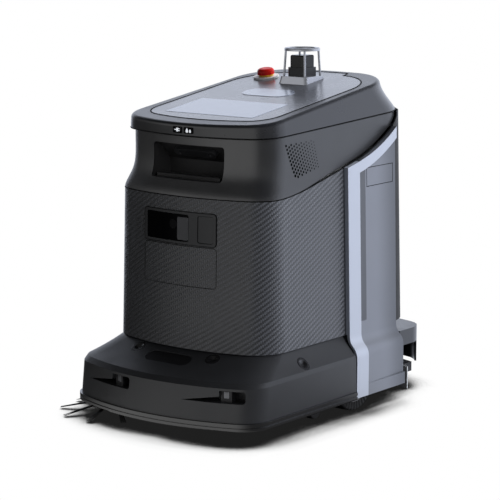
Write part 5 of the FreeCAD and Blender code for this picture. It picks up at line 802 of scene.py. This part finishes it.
# Painted shadow: ambient occlusion darkens the floor's glow under and near the robot.
floor_near = put(floor_white, "ShaderNodeAmbientOcclusion", samples=16)
floor_near.inputs["Distance"].default_value = shadow_reach
floor_open = floor_near.outputs["AO"]
floor_shadow = ramp(floor_white, floor_open, low=0.55, high=0.88, first=shadow_deep, last=1.0)
floor_fade = dimmed(floor_white, floor_x, floor_y, left_end=-0.3, left_dark=0.93, near_dark=0.85)
floor_fade = sum_node(floor_white, "MAXIMUM", floor_fade, floor_camera)
floor_glow = put(floor_white, "ShaderNodeEmission")
floor_bright = sum_node(floor_white, "MULTIPLY", floor_shadow, floor_fade)
wire(floor_white, floor_bright, floor_glow.inputs["Strength"])
wire(floor_white, cooled(floor_white, floor_y, floor_camera), floor_glow.inputs["Color"])
floor_mix = put(floor_white, "ShaderNodeMixShader")
floor_nodes = floor_white.node_tree.nodes
wire(floor_white, floor_seen, floor_mix.inputs["Fac"])
wire(floor_white, floor_nodes["Principled BSDF"].outputs["BSDF"], floor_mix.inputs[1])
wire(floor_white, floor_glow.outputs["Emission"], floor_mix.inputs[2])
wire(floor_white, floor_mix.outputs["Shader"], floor_nodes["Material Output"].inputs["Surface"])

world = bpy.data.worlds.new("studio")
bpy.context.scene.world = world
world.use_nodes = True
backdrop = world.node_tree.nodes["Background"]
world_seen, world_camera = seen_rays(world)
world_x, world_y, world_z = place_split(world, "Generated")
world_fade = dimmed(world, world_x, world_y, left_end=-0.75, left_dark=0.85, near_dark=0.7)
world_high = ramp(world, world_z, low=0.28, high=0.62, first=1.0, last=overhead_dim)
world_fade = sum_node(world, "MULTIPLY", world_fade, world_high)
world_fade = sum_node(world, "MAXIMUM", world_fade, world_camera)
strength = put(world, "ShaderNodeMix", data_type="FLOAT")
strength.inputs["A"].default_value = surround_dim
wire(world, world_fade, strength.inputs["B"])
wire(world, world_seen, strength.inputs["Factor"])
wire(world, cooled(world, world_y, world_camera), backdrop.inputs["Color"])
wire(world, strength.outputs["Result"], backdrop.inputs["Strength"])


def lamp(name, place, target, width, depth, power):
    """A soft rectangular lamp that looks at a point."""
    light = bpy.data.lights.new(name, "AREA")
    light.shape = "RECTANGLE"
    light.size = width
    light.size_y = depth
    light.energy = power
    holder = bpy.data.objects.new(name, light)
    holder.visible_glossy = False
    bpy.context.scene.collection.objects.link(holder)
    aim = Vector(target) - Vector(place)
    holder.matrix_world = Matrix.Translation(place) @ aim.to_track_quat("-Z", "Y").to_matrix().to_4x4()


lamp("overhead", (0.2, 2.0, 2.7), (0, 0, 0.5), width=2.4, depth=2.0, power=85)
lamp("right_side", (2.9, 1.0, 1.35), (0, 0, 0.4), width=1.6, depth=2.2, power=125)
lamp("front_fill", (3.0, -1.8, 1.3), (0, 0, 0.4), width=1.6, depth=1.6, power=16)

photo_px = 500
focal_px = 2009.09
sensor_mm = 36
camera_down = 9.85
camera_round = 38.079
camera_data = bpy.data.cameras.new("photo_view")
camera_data.lens = focal_px / photo_px * sensor_mm
camera_data.sensor_width = sensor_mm
camera_data.clip_end = 50
camera = bpy.data.objects.new("photo_view", camera_data)
bpy.context.scene.collection.objects.link(camera)
camera.location = (2.7499, -3.6116, 1.1305)
camera.rotation_euler = (math.radians(90 - camera_down), 0, math.radians(camera_round))
bpy.context.scene.camera = camera
bpy.context.scene.view_settings.view_transform = "Standard"
